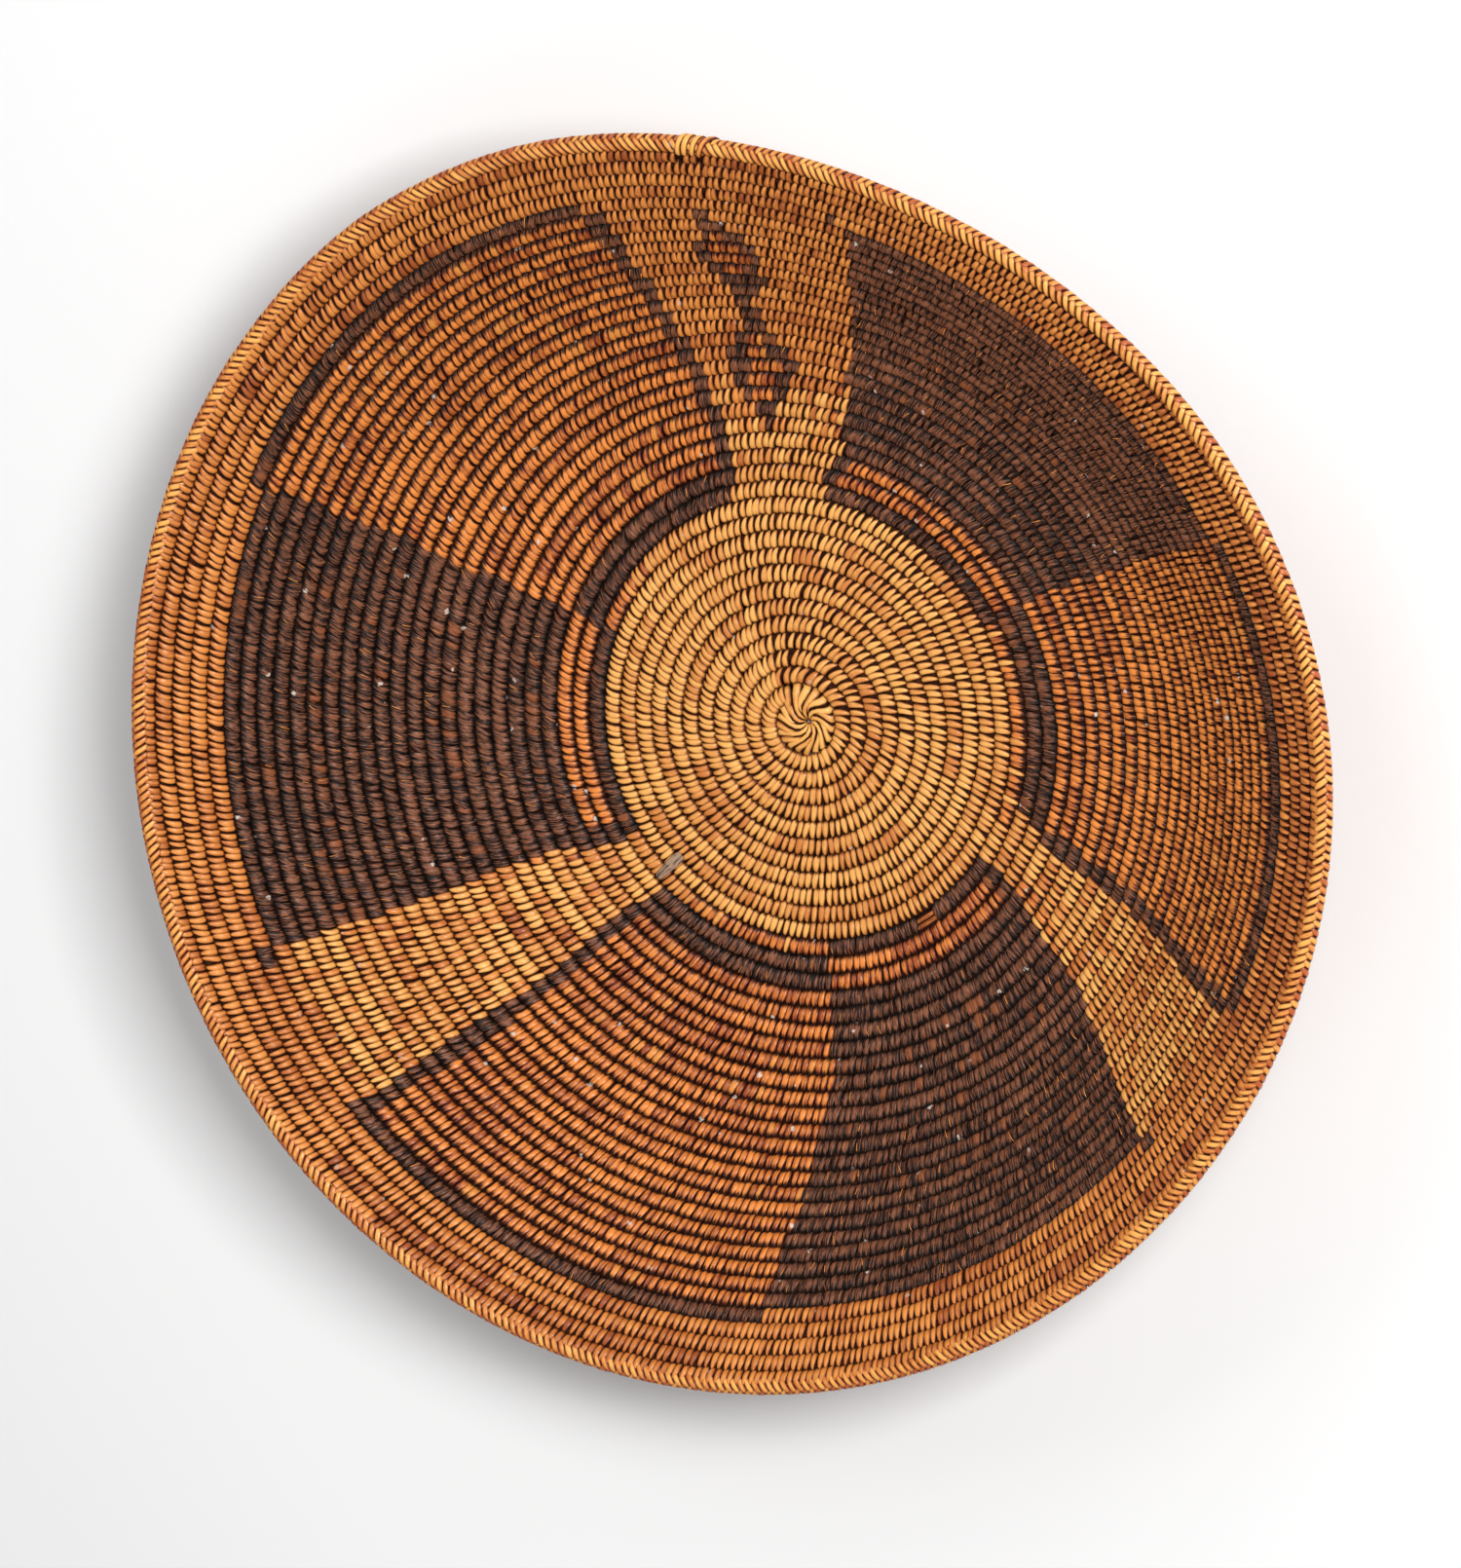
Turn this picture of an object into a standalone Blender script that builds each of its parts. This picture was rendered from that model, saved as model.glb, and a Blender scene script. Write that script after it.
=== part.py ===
"""Coiled basket tray: a flat base and a flared wall, wound as one spiral coil.

Each round of the coil is a piece of its own, cut where the round meets the seam.
The rounds lie against each other from the start knot to the rim, where the coil
is thinned and the false braid covers its edge. Lengths are metres, +Z is up, and
the origin is the middle of the start knot's underside, on the floor.
"""

import math

import bmesh
import bpy

for old in list(bpy.data.objects):
    bpy.data.objects.remove(old)

# Driving dimensions of the coil and its rounds
COIL_PITCH = 0.00545
ROUND_COUNT = 40
START_TURN = 1.02
SEAM_ANGLE = math.radians(118.0)
CLEARANCE = 0.00045
FOOT_CUT = 0.0005

# Slope of the bowl, by the coil's turn from the middle
FLAT_TURN = 7.8
STEEP_TURN = 32.4
RIM_TURN = 42.0
STEEPEST_SLOPE = math.radians(44.6)
RIM_SLOPE = math.radians(38.7)

# Unevenness of the hand-made wall, which grows from the base to the rim
EVEN_TURN = 13.5
GROWTH_POWER = 1.5
OVAL_LOBES = 2
OVAL_OUT = 0.0015
OVAL_OUT_PHASE = math.radians(-11.0)
OVAL_RISE = 0.0028
OVAL_RISE_PHASE = math.radians(35.0)
HEART_LOBES = 3
HEART_OUT = 0.0035
HEART_OUT_PHASE = math.radians(31.0)
HEART_RISE = 0.0033
HEART_RISE_PHASE = math.radians(-127.0)

# Thinned end of the coil, by the share of its last round
THIN_START_SHARE = 0.74
THIN_END_SHARE = 0.87
THIN_SIZE_SHARE = 0.4
TIP_START_SHARE = 0.95
TIP_SIZE_SHARE = 0.2

# False braid over the rim coil, and the knot that closes it
BRAID_CLEARANCE = 0.0003
BRAID_CROWN = 0.0014
BRAID_SKIRT = 0.0020
BRAID_WALL = 0.0008
STEP_DOWN_SHARE = 0.06
KNOT_ANGLE = math.radians(88.0)
KNOT_LENGTH = 0.0050
KNOT_RISE = 0.0005

# Loose end of a sewing strand, lying across two rounds of the base
TAIL_LENGTH = 0.0110
TAIL_WIDTH = 0.0024
TAIL_THICKNESS = 0.0007
TAIL_TURN = 12.9
TAIL_ANGLE = math.radians(225.4)
TAIL_CLEARANCE = 0.0003

# Start knot at the middle of the base
KNOT_THICKNESS = 0.0049
KNOT_EDGE = 0.0004

# Fineness of the faceted pieces; the outer rounds have two facets for each inner one
INNER_STATIONS = 18
OUTER_STATIONS = 36
FIRST_FINE_ROUND = 7
SEAM_SHARE = 0.02
LEAST_STEP_SHARE = 0.005
PROFILE_STEPS = 20
SECTION_TILT = math.radians(30.0)
KNOT_POINTS = 24
KNOT_STATIONS = 4
WELD_SHARE = 0.005

TURN = 2.0 * math.pi
COIL_WIDTH = COIL_PITCH - CLEARANCE
COIL_DEPTH = 0.5 * COIL_WIDTH / math.cos(SECTION_TILT)
COIL_MIDDLE = COIL_DEPTH - FOOT_CUT

# Splint colours, seen from a step away
NATURAL = (0.60, 0.33, 0.11)
DYED = (0.36, 0.13, 0.045)
RIM = (0.62, 0.30, 0.07)
WEATHERED = (0.34, 0.26, 0.18)
SPLINT_ROUGHNESS = 0.5
FIRST_DYED_ROUND = 13
LAST_DYED_ROUND = 36


def eased(share):
    """Share from 0 to 1 that starts and ends gently."""
    held = min(max(share, 0.0), 1.0)
    return held * held * (3.0 - 2.0 * held)


def slope_at(turn):
    """Slope of the wall where the coil has made this many turns."""
    rise = eased((turn - FLAT_TURN) / (STEEP_TURN - FLAT_TURN))
    fall = eased((turn - STEEP_TURN) / (RIM_TURN - STEEP_TURN))
    return rise * STEEPEST_SLOPE - fall * (STEEPEST_SLOPE - RIM_SLOPE)


def make_profile():
    """Radius and height of the bowl's middle surface, at even steps along the wall."""
    radii = [0.0]
    heights = [COIL_MIDDLE]
    step = 1.0 / PROFILE_STEPS
    for index in range(int((RIM_TURN + 1.0) * PROFILE_STEPS)):
        slope = slope_at((index + 0.5) * step)
        radii.append(radii[-1] + COIL_PITCH * step * math.cos(slope))
        heights.append(heights[-1] + COIL_PITCH * step * math.sin(slope))
    return radii, heights


PROFILE_RADII, PROFILE_HEIGHTS = make_profile()


def profile_at(turn):
    """Radius and height of the middle surface at this turn."""
    place = max(turn, 0.0) * PROFILE_STEPS
    index = min(int(place), len(PROFILE_RADII) - 2)
    share = place - index
    radius = PROFILE_RADII[index] + share * (PROFILE_RADII[index + 1] - PROFILE_RADII[index])
    height = PROFILE_HEIGHTS[index] + share * (PROFILE_HEIGHTS[index + 1] - PROFILE_HEIGHTS[index])
    return radius, height


def wall_point(turn, angle, lift=0.0, along=0.0):
    """Point of the wall at a turn and an angle, moved up its normal and out along it."""
    radius, height = profile_at(turn)
    slope = slope_at(turn)
    growth = (max(turn - EVEN_TURN, 0.0) / (RIM_TURN - EVEN_TURN)) ** GROWTH_POWER
    radius += growth * OVAL_OUT * math.cos(OVAL_LOBES * angle - OVAL_OUT_PHASE)
    radius += growth * HEART_OUT * math.cos(HEART_LOBES * angle - HEART_OUT_PHASE)
    height += growth * OVAL_RISE * math.cos(OVAL_LOBES * angle - OVAL_RISE_PHASE)
    height += growth * HEART_RISE * math.cos(HEART_LOBES * angle - HEART_RISE_PHASE)
    radius += along * math.cos(slope) - lift * math.sin(slope)
    height += along * math.sin(slope) + lift * math.cos(slope)
    return (radius * math.cos(angle), radius * math.sin(angle), height)


def station_shares(stations):
    """Stations of a round as shares of a turn, alike on all rounds so that facets meet."""
    step = (1.0 - 2.0 * SEAM_SHARE) / stations
    return [SEAM_SHARE + index * step for index in range(stations + 1)]


def cut_shares(shares, first, last):
    """Stations between two cut ends; the short step at each end squares its face."""
    kept = [share for share in shares if first + LEAST_STEP_SHARE < share < last - LEAST_STEP_SHARE]
    return [first] + kept + [last]


def coil_share(number, share):
    """Thickness of the coil as a share of its full size: only the last round thins out."""
    if number < ROUND_COUNT:
        return 1.0
    thinned = eased((share - THIN_START_SHARE) / (THIN_END_SHARE - THIN_START_SHARE))
    tip = eased((share - TIP_START_SHARE) / (1.0 - TIP_START_SHARE))
    return 1.0 - thinned * (1.0 - THIN_SIZE_SHARE) - tip * (THIN_SIZE_SHARE - TIP_SIZE_SHARE)


def coil_turn(number, share):
    """Turn of the coil's centre line; the thinned end stays against the round inside it."""
    lost = 0.5 * (1.0 - coil_share(number, share)) * COIL_WIDTH / COIL_PITCH
    return START_TURN + number - 1 + share - lost


def edge_turn(share):
    """Turn of the outer edge of the last round."""
    half = 0.5 * coil_share(ROUND_COUNT, share) * COIL_WIDTH / COIL_PITCH
    return coil_turn(ROUND_COUNT, share) + half


def rim_turn(share):
    """Turn that the braid follows: the outer edge, with an even step down past the coil's tip."""
    held = share % 1.0
    step = edge_turn(1.0) - edge_turn(0.0)
    return edge_turn(held) + step * (1.0 - eased(held / STEP_DOWN_SHARE))


def make_material(name, colour):
    """Plain splint material of one colour."""
    material = bpy.data.materials.new(name)
    material.use_nodes = True
    shader = material.node_tree.nodes["Principled BSDF"]
    shader.inputs["Base Color"].default_value = (*colour, 1.0)
    shader.inputs["Roughness"].default_value = SPLINT_ROUGHNESS
    shader.inputs["Metallic"].default_value = 0.0
    return material


def make_collection(name):
    """Collection under the scene's own."""
    collection = bpy.data.collections.new(name)
    bpy.context.scene.collection.children.link(collection)
    return collection


PARTS = make_collection("coiled_basket_tray")
GUIDES = make_collection("guides")


def add_object(name, data, colour, collection=PARTS):
    """Object with a material of its own, in the parts' collection."""
    piece = bpy.data.objects.new(name, data)
    collection.objects.link(piece)
    data.materials.append(make_material(name, colour))
    return piece


def make_guide(piece):
    """Keep an object as a guide or a cutter, out of the model itself."""
    for collection in list(piece.users_collection):
        collection.objects.unlink(piece)
    GUIDES.objects.link(piece)
    piece.hide_render = True
    piece.display_type = "WIRE"
    return piece


def tube_curve(name, places, tilts, sizes):
    """Poly curve through the places, with a tilt and a size share at each."""
    curve = bpy.data.curves.new(name, "CURVE")
    curve.dimensions = "3D"
    curve.twist_mode = "Z_UP"
    curve.use_fill_caps = True
    spline = curve.splines.new("POLY")
    spline.points.add(len(places) - 1)
    for point, place, tilt, size in zip(spline.points, places, tilts, sizes):
        point.co = (*place, 1.0)
        point.tilt = tilt
        point.radius = size
    return curve


def section_guide(name, corners):
    """Closed outline that a curve takes as its section, x outward and y upward."""
    outline = bpy.data.curves.new(name, "CURVE")
    outline.dimensions = "2D"
    spline = outline.splines.new("POLY")
    spline.points.add(len(corners) - 1)
    for point, (along, lift) in zip(spline.points, corners):
        point.co = (along, lift, 0.0, 1.0)
    spline.use_cyclic_u = True
    guide = bpy.data.objects.new(name, outline)
    bpy.context.scene.collection.objects.link(guide)
    return make_guide(guide)


def as_mesh(piece):
    """The same piece as a closed mesh, ready to be cut."""
    view = bpy.context.evaluated_depsgraph_get()
    mesh = bpy.data.meshes.new_from_object(piece.evaluated_get(view))
    shape = bmesh.new()
    shape.from_mesh(mesh)
    bmesh.ops.remove_doubles(shape, verts=shape.verts, dist=WELD_SHARE * CLEARANCE)
    bmesh.ops.triangulate(shape, faces=shape.faces)
    shape.to_mesh(mesh)
    shape.free()
    name = piece.name
    curve = piece.data
    solid = bpy.data.objects.new(name + "_solid", mesh)
    PARTS.objects.link(solid)
    solid.matrix_world = piece.matrix_world
    bpy.data.objects.remove(piece)
    bpy.data.curves.remove(curve)
    solid.name = name
    return solid


# Start knot, a snail-shaped disc whose edge opens into the first round
def make_start_knot():
    outline = bpy.data.curves.new("start_knot", "CURVE")
    outline.dimensions = "2D"
    outline.fill_mode = "BOTH"
    outline.extrude = 0.5 * KNOT_THICKNESS - KNOT_EDGE
    outline.bevel_depth = KNOT_EDGE
    outline.bevel_resolution = 0
    outline.offset = -KNOT_EDGE
    spline = outline.splines.new("POLY")
    spline.points.add(KNOT_POINTS)
    edge_gap = 0.5 * CLEARANCE / (COIL_PITCH * TURN * START_TURN)
    for index, point in enumerate(spline.points):
        share = (1.0 - edge_gap) * index / KNOT_POINTS
        radius = COIL_PITCH * (START_TURN - 0.5 + share) - 0.5 * CLEARANCE
        angle = SEAM_ANGLE + TURN * share
        point.co = (radius * math.cos(angle), radius * math.sin(angle), 0.0, 1.0)
    spline.use_cyclic_u = True
    knot = add_object("start_knot", outline, NATURAL)
    knot.location.z = 0.5 * KNOT_THICKNESS
    return knot


# Rounds of the coil, each a six-sided tube one turn long that faces its neighbours flat
def make_round(number):
    end = 0.5 * CLEARANCE / (TURN * profile_at(START_TURN + number - 1)[0])
    stations = OUTER_STATIONS if number >= FIRST_FINE_ROUND else INNER_STATIONS
    places = []
    tilts = []
    sizes = []
    for share in cut_shares(station_shares(stations), end, 1.0 - end):
        turn = coil_turn(number, share)
        places.append(wall_point(turn, SEAM_ANGLE + TURN * share))
        tilts.append(SECTION_TILT - slope_at(turn))
        sizes.append(coil_share(number, share))
    name = f"coil_round_{number:02d}"
    curve = tube_curve(name, places, tilts, sizes)
    curve.bevel_depth = COIL_DEPTH
    curve.bevel_resolution = 1
    dyed = FIRST_DYED_ROUND <= number <= LAST_DYED_ROUND
    return add_object(name, curve, DYED if dyed else NATURAL)


def cut_flat(piece, cutter):
    """Flatten the underside of a round that the tray stands on."""
    material = piece.data.materials[0]
    solid = as_mesh(piece)
    solid.data.materials.clear()
    solid.data.materials.append(material)
    cut = solid.modifiers.new("floor", "BOOLEAN")
    cut.operation = "DIFFERENCE"
    cut.solver = "EXACT"
    cut.object = cutter
    return solid


def make_floor_cutter(reach):
    """Slab whose top is the floor that the tray stands on."""
    bpy.ops.mesh.primitive_cube_add(size=1.0, location=(0.0, 0.0, -COIL_PITCH))
    slab = bpy.context.object
    slab.name = "floor_cutter"
    slab.scale = (2.0 * reach, 2.0 * reach, 2.0 * COIL_PITCH)
    bpy.ops.object.transform_apply(location=False, rotation=False, scale=True)
    return make_guide(slab)


# False braid, a saddle-shaped strip over the rim coil's outer edge
def saddle_section(name, rise):
    inner_top = BRAID_CLEARANCE
    inner_half = 0.5 * COIL_DEPTH + BRAID_CLEARANCE
    skirt_half = inner_half + BRAID_SKIRT * math.tan(SECTION_TILT)
    outer_top = inner_top + BRAID_CROWN + rise
    outer_half = inner_half + 0.5 * BRAID_WALL
    shoulder = skirt_half + BRAID_WALL + rise
    outer = [
        (-BRAID_SKIRT, shoulder),
        (0.5 * outer_top, outer_half),
        (outer_top, 0.5 * outer_half),
    ]
    inner = [
        (inner_top, inner_half),
        (-BRAID_SKIRT, skirt_half),
    ]
    outer_below = [(along, -lift) for along, lift in reversed(outer)]
    inner_below = [(along, -lift) for along, lift in reversed(inner)]
    return section_guide(name, outer + outer_below + inner_below + inner)


def make_saddle(name, shares, section):
    """Strip that rides on the coil's outer edge, through the given shares of the rim."""
    places = []
    tilts = []
    for share in shares:
        turn = rim_turn(share)
        places.append(wall_point(turn, SEAM_ANGLE + TURN * share))
        tilts.append(-slope_at(turn))
    curve = tube_curve(name, places, tilts, [1.0] * len(places))
    curve.bevel_mode = "OBJECT"
    curve.bevel_object = section
    return add_object(name, curve, RIM)


def knot_share():
    """Place of the rim's end knot, as a share of the last round."""
    return (KNOT_ANGLE - SEAM_ANGLE) / TURN % 1.0


def knot_reach():
    """Half the knot's length as a share of the rim."""
    return 0.5 * KNOT_LENGTH / (TURN * profile_at(rim_turn(knot_share()))[0])


def make_rim_braid():
    """Ring from one side of the knot right round to the other."""
    open_share = knot_reach() * (1.0 + 2.0 * BRAID_CLEARANCE / KNOT_LENGTH)
    first = knot_share() + open_share
    last = knot_share() + 1.0 - open_share
    stations = station_shares(OUTER_STATIONS) + [1.0]
    stations += [share + 1.0 for share in station_shares(OUTER_STATIONS)]
    section = saddle_section("braid_section", 0.0)
    return make_saddle("rim_braid", cut_shares(stations, first, last), section)


def make_rim_knot():
    """Knot over the braid's join."""
    steps = [2.0 * index / (KNOT_STATIONS - 1) - 1.0 for index in range(KNOT_STATIONS)]
    shares = [knot_share() + knot_reach() * step for step in steps]
    return make_saddle("rim_end_knot", shares, saddle_section("knot_section", KNOT_RISE))


# Loose strand end, a thin strip that lies on the base across two rounds
def make_splice_tail():
    bpy.ops.mesh.primitive_cube_add(size=1.0)
    tail = bpy.context.object
    tail.name = "splice_tail"
    tail.scale = (TAIL_LENGTH, TAIL_WIDTH, TAIL_THICKNESS)
    bpy.ops.object.transform_apply(location=False, rotation=False, scale=True)
    lift = COIL_DEPTH + TAIL_CLEARANCE + 0.5 * TAIL_THICKNESS
    tail.location = wall_point(TAIL_TURN, TAIL_ANGLE, lift=lift)
    tail.rotation_euler = (0.0, -slope_at(TAIL_TURN), TAIL_ANGLE)
    for collection in list(tail.users_collection):
        collection.objects.unlink(tail)
    PARTS.objects.link(tail)
    tail.data.materials.append(make_material("splice_tail", WEATHERED))
    return tail


def print_least_gap():
    """Least distance between one point of the coil and the next round out, less its width."""
    least = COIL_PITCH
    for number in range(1, ROUND_COUNT):
        for index in range(OUTER_STATIONS):
            share = index / OUTER_STATIONS
            angle = SEAM_ANGLE + TURN * share
            here = wall_point(coil_turn(number, share), angle)
            beyond = wall_point(coil_turn(number + 1, share), angle)
            halves = 0.5 * COIL_WIDTH * (1.0 + coil_share(number + 1, share))
            least = min(least, math.dist(here, beyond) - halves)
    print(f"least gap between rounds of the coil: {1000.0 * least:.2f} mm")


def make_basket():
    make_start_knot()
    rounds = [make_round(number) for number in range(1, ROUND_COUNT + 1)]
    cutter = make_floor_cutter(profile_at(RIM_TURN)[0])
    for piece in rounds:
        lowest = min(point.co.z for point in piece.data.splines[0].points) - COIL_DEPTH
        if lowest < 0.0:
            cut_flat(piece, cutter)
    make_rim_braid()
    make_rim_knot()
    make_splice_tail()
    print_least_gap()


make_basket()
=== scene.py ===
import math

import bpy
import numpy as np
from mathutils import Matrix, Vector


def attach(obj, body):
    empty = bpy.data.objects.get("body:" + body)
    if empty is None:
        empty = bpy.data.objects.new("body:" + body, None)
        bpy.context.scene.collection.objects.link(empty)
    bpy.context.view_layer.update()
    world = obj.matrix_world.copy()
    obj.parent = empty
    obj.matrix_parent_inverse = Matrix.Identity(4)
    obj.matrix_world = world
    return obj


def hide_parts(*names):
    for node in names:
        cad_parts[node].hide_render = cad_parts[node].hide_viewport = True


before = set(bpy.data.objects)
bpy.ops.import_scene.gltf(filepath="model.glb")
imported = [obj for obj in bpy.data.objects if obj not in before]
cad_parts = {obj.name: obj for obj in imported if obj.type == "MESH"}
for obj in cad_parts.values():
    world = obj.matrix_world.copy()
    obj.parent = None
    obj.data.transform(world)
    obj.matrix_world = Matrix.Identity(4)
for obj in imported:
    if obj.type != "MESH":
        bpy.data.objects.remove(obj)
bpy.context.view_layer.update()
chance = np.random.default_rng(26)

# Shape of the tray
# A flat base turns up into a flared wall, a little out of true as hand work is.
# One coil runs on this surface as a spiral, counter-clockwise from the middle out.
# Sizes are metres here and below, and a turn is one round of the coil.
COIL_PITCH, COIL_MIDDLE = 0.00545, 0.002387
SEAM_ANGLE = math.radians(118.0)
START_TURN = 1.02
ROUND_COUNT = 40
FLAT_TURN, STEEP_TURN, RIM_TURN = 7.8, 32.4, 42.0
STEEPEST_SLOPE, RIM_SLOPE = math.radians(44.6), math.radians(38.7)
EVEN_TURN, GROWTH_POWER = 13.5, 1.5
OVAL_OUT, OVAL_OUT_PHASE = 0.0015, math.radians(-11.0)
OVAL_RISE, OVAL_RISE_PHASE = 0.0028, math.radians(35.0)
HEART_OUT, HEART_OUT_PHASE = 0.0035, math.radians(31.0)
HEART_RISE, HEART_RISE_PHASE = 0.0033, math.radians(-127.0)
PROFILE_STEPS = 20
FLOOR_GAP = 0.00005
FULL_TURN = 2.0 * math.pi


def eased(share):
    """Share from 0 to 1 that starts and ends gently."""
    held = np.clip(share, 0.0, 1.0)
    return held * held * (3.0 - 2.0 * held)


def slope_at(turn):
    """Slope of the wall at this turn of the coil."""
    rise = eased((turn - FLAT_TURN) / (STEEP_TURN - FLAT_TURN))
    fall = eased((turn - STEEP_TURN) / (RIM_TURN - STEEP_TURN))
    return rise * STEEPEST_SLOPE - fall * (STEEPEST_SLOPE - RIM_SLOPE)


step_middles = (np.arange(int((RIM_TURN + 1.0) * PROFILE_STEPS)) + 0.5) / PROFILE_STEPS
step_slopes = slope_at(step_middles)
PROFILE_TURNS = np.arange(len(step_middles) + 1) / PROFILE_STEPS
PROFILE_RADII = np.append(0.0, np.cumsum(np.cos(step_slopes))) * COIL_PITCH / PROFILE_STEPS
PROFILE_RISES = np.append(0.0, np.cumsum(np.sin(step_slopes))) * COIL_PITCH / PROFILE_STEPS
PROFILE_HEIGHTS = COIL_MIDDLE + PROFILE_RISES


def radius_at(turn):
    """Radius of the coil's middle line, before the tray's lack of round."""
    return np.interp(turn, PROFILE_TURNS, PROFILE_RADII)


def wall_points(turn, angle, along, lift):
    """Points off the wall's middle surface, out along it and up from it."""
    slope = slope_at(turn)
    growth = (np.maximum(turn - EVEN_TURN, 0.0) / (RIM_TURN - EVEN_TURN)) ** GROWTH_POWER
    radius = radius_at(turn)
    radius = radius + growth * OVAL_OUT * np.cos(2 * angle - OVAL_OUT_PHASE)
    radius = radius + growth * HEART_OUT * np.cos(3 * angle - HEART_OUT_PHASE)
    height = np.interp(turn, PROFILE_TURNS, PROFILE_HEIGHTS)
    height = height + growth * OVAL_RISE * np.cos(2 * angle - OVAL_RISE_PHASE)
    height = height + growth * HEART_RISE * np.cos(3 * angle - HEART_RISE_PHASE)
    radius = radius + along * np.cos(slope) - lift * np.sin(slope)
    height = np.maximum(height + along * np.sin(slope) + lift * np.cos(slope), FLOOR_GAP)
    return np.stack([radius * np.cos(angle), radius * np.sin(angle), height], -1)


def angle_at(turn):
    """Angle round the tray that the coil has reached at this turn."""
    return SEAM_ANGLE + FULL_TURN * (turn - START_TURN)


# Splint and foundation
# The sewing splint is split from shoots: natural yellow, dyed orange-red, or dyed near black.
# It is wrapped damp round a bundle of brown stems, so each strand dries with a hard crown.
# Its colour is painted deeper on its flanks, along its edges and at its tucked ends, as shade.
class Wire:
    """A socket of a finish; sums on it add the nodes that work them out."""

    def __init__(self, finish, socket):
        self.finish = finish
        self.socket = socket

    def worked(self, operation, first, second):
        return self.finish.wire("ShaderNodeMath", {"operation": operation}, {0: first, 1: second})

    def __add__(self, other):
        return self.worked("ADD", self, other)

    def __radd__(self, other):
        return self.worked("ADD", other, self)

    def __sub__(self, other):
        return self.worked("SUBTRACT", self, other)

    def __rsub__(self, other):
        return self.worked("SUBTRACT", other, self)

    def __mul__(self, other):
        return self.worked("MULTIPLY", self, other)

    def __rmul__(self, other):
        return self.worked("MULTIPLY", other, self)

    def spread(self, low, high):
        """The part of the wire's range from low to high, as a gentle 0 to 1."""
        settings = {"interpolation_type": "SMOOTHSTEP", "clamp": True}
        return self.finish.wire("ShaderNodeMapRange", settings, {0: self, 1: low, 2: high})


class Finish:
    """A material, with one way to add a node to it."""

    def __init__(self, name):
        self.material = bpy.data.materials.new(name)
        self.material.use_nodes = True
        self.nodes = self.material.node_tree.nodes
        self.links = self.material.node_tree.links
        self.shader = self.nodes["Principled BSDF"]

    def node(self, kind, settings, inputs):
        made = self.nodes.new(kind)
        for name, value in settings.items():
            setattr(made, name, value)
        for name, value in inputs.items():
            self.feed(made.inputs[name], value)
        return made

    def feed(self, socket, value):
        if isinstance(value, Wire):
            self.links.new(value.socket, socket)
        else:
            socket.default_value = value

    def surface(self, name, value):
        """Set or wire one input of the shader itself."""
        self.feed(self.shader.inputs[name], value)

    def wire(self, kind, settings, inputs, output=0):
        return Wire(self, self.node(kind, settings, inputs).outputs[output])

    def mix(self, share, first, second):
        """A colour between two others."""
        settings = {"data_type": "RGBA"}
        return self.wire("ShaderNodeMix", settings, {0: share, 6: first, 7: second}, 2)

    def strand(self):
        """Place on the strand, and its tone with its amounts of painted shade at the tucked ends
        and the edges, from the mesh.
        """
        fibre = self.wire("ShaderNodeAttribute", {"attribute_name": "fibre"}, {}, 1)
        tone_and_shade = self.wire("ShaderNodeAttribute", {"attribute_name": "tone_and_shade"}, {}, 1)
        parts = self.node("ShaderNodeSeparateXYZ", {}, {0: tone_and_shade})
        return fibre, [Wire(self, socket) for socket in parts.outputs]

    def noise(self, place, stretch, detail=2.0):
        """Even noise on a place stretched by three numbers."""
        settings = {"operation": "MULTIPLY"}
        scaled = self.wire("ShaderNodeVectorMath", settings, {0: place, 1: stretch})
        inputs = {"Vector": scaled, "Scale": 1.0, "Detail": detail}
        return self.wire("ShaderNodeTexNoise", {}, inputs)


def colour(red, green, blue):
    """Screen colour from 0 to 255 as the shader's own."""
    shares = [(part / 255.0 + 0.055) / 1.055 for part in (red, green, blue)]
    return (*[share**2.4 for share in shares], 1.0)


FIBRE_STRETCH = (0.3, 2.6, 9.0)
FINE_STRETCH = (0.3, 4.2, 9.0)
BLOTCH_STRETCH = (0.5, 0.9, 5.0)
STREAK_RANGE = (0.3, 0.7)
# How much a strand's own tone and its blotches deepen it, and how much painted shade deepens its
# flanks and its tucked ends
TONE_DEPTH, BLOTCH_DEPTH, FLANK_SHADE_DEPTH, TUCK_SHADE_DEPTH, DEPTH_START = 0.75, 0.6, 0.6, 0.25, 0.42
STRAY_RANGE, STRAY_SHARE = (0.84, 0.9), 0.8
# Shares of the edge colour painted on as shade along the edges and at the tucked ends, and how
# blotchy the tucked shade is
EDGE_SHADE_SHARE, TUCK_SHADE_SHARE, TUCK_SHADE_BLOTCH = 0.92, 0.95, 0.25
STREAK_ROUGHNESS, COAT_ROUGHNESS, SPLINT_SPECULAR = 0.2, 0.3, 0.25
SPLINT_BUMP, GRAIN_BUMP, FIBRE_DEPTH = 0.35, 0.5, 0.00007
# White dust lies in crumbs of about a millimetre, and only in some patches of the tray
DUST = colour(214, 200, 188)
SPECK_SPACING, SPECK_RANGE, SPECK_CRUMBLE = 105.0, (0.05, 0.1), 0.2
PATCH_STRETCH, PATCH_RANGE = (31.0, 31.0, 31.0), (0.42, 0.52)
CRUMB_STRETCH = (900.0, 900.0, 900.0)


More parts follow.
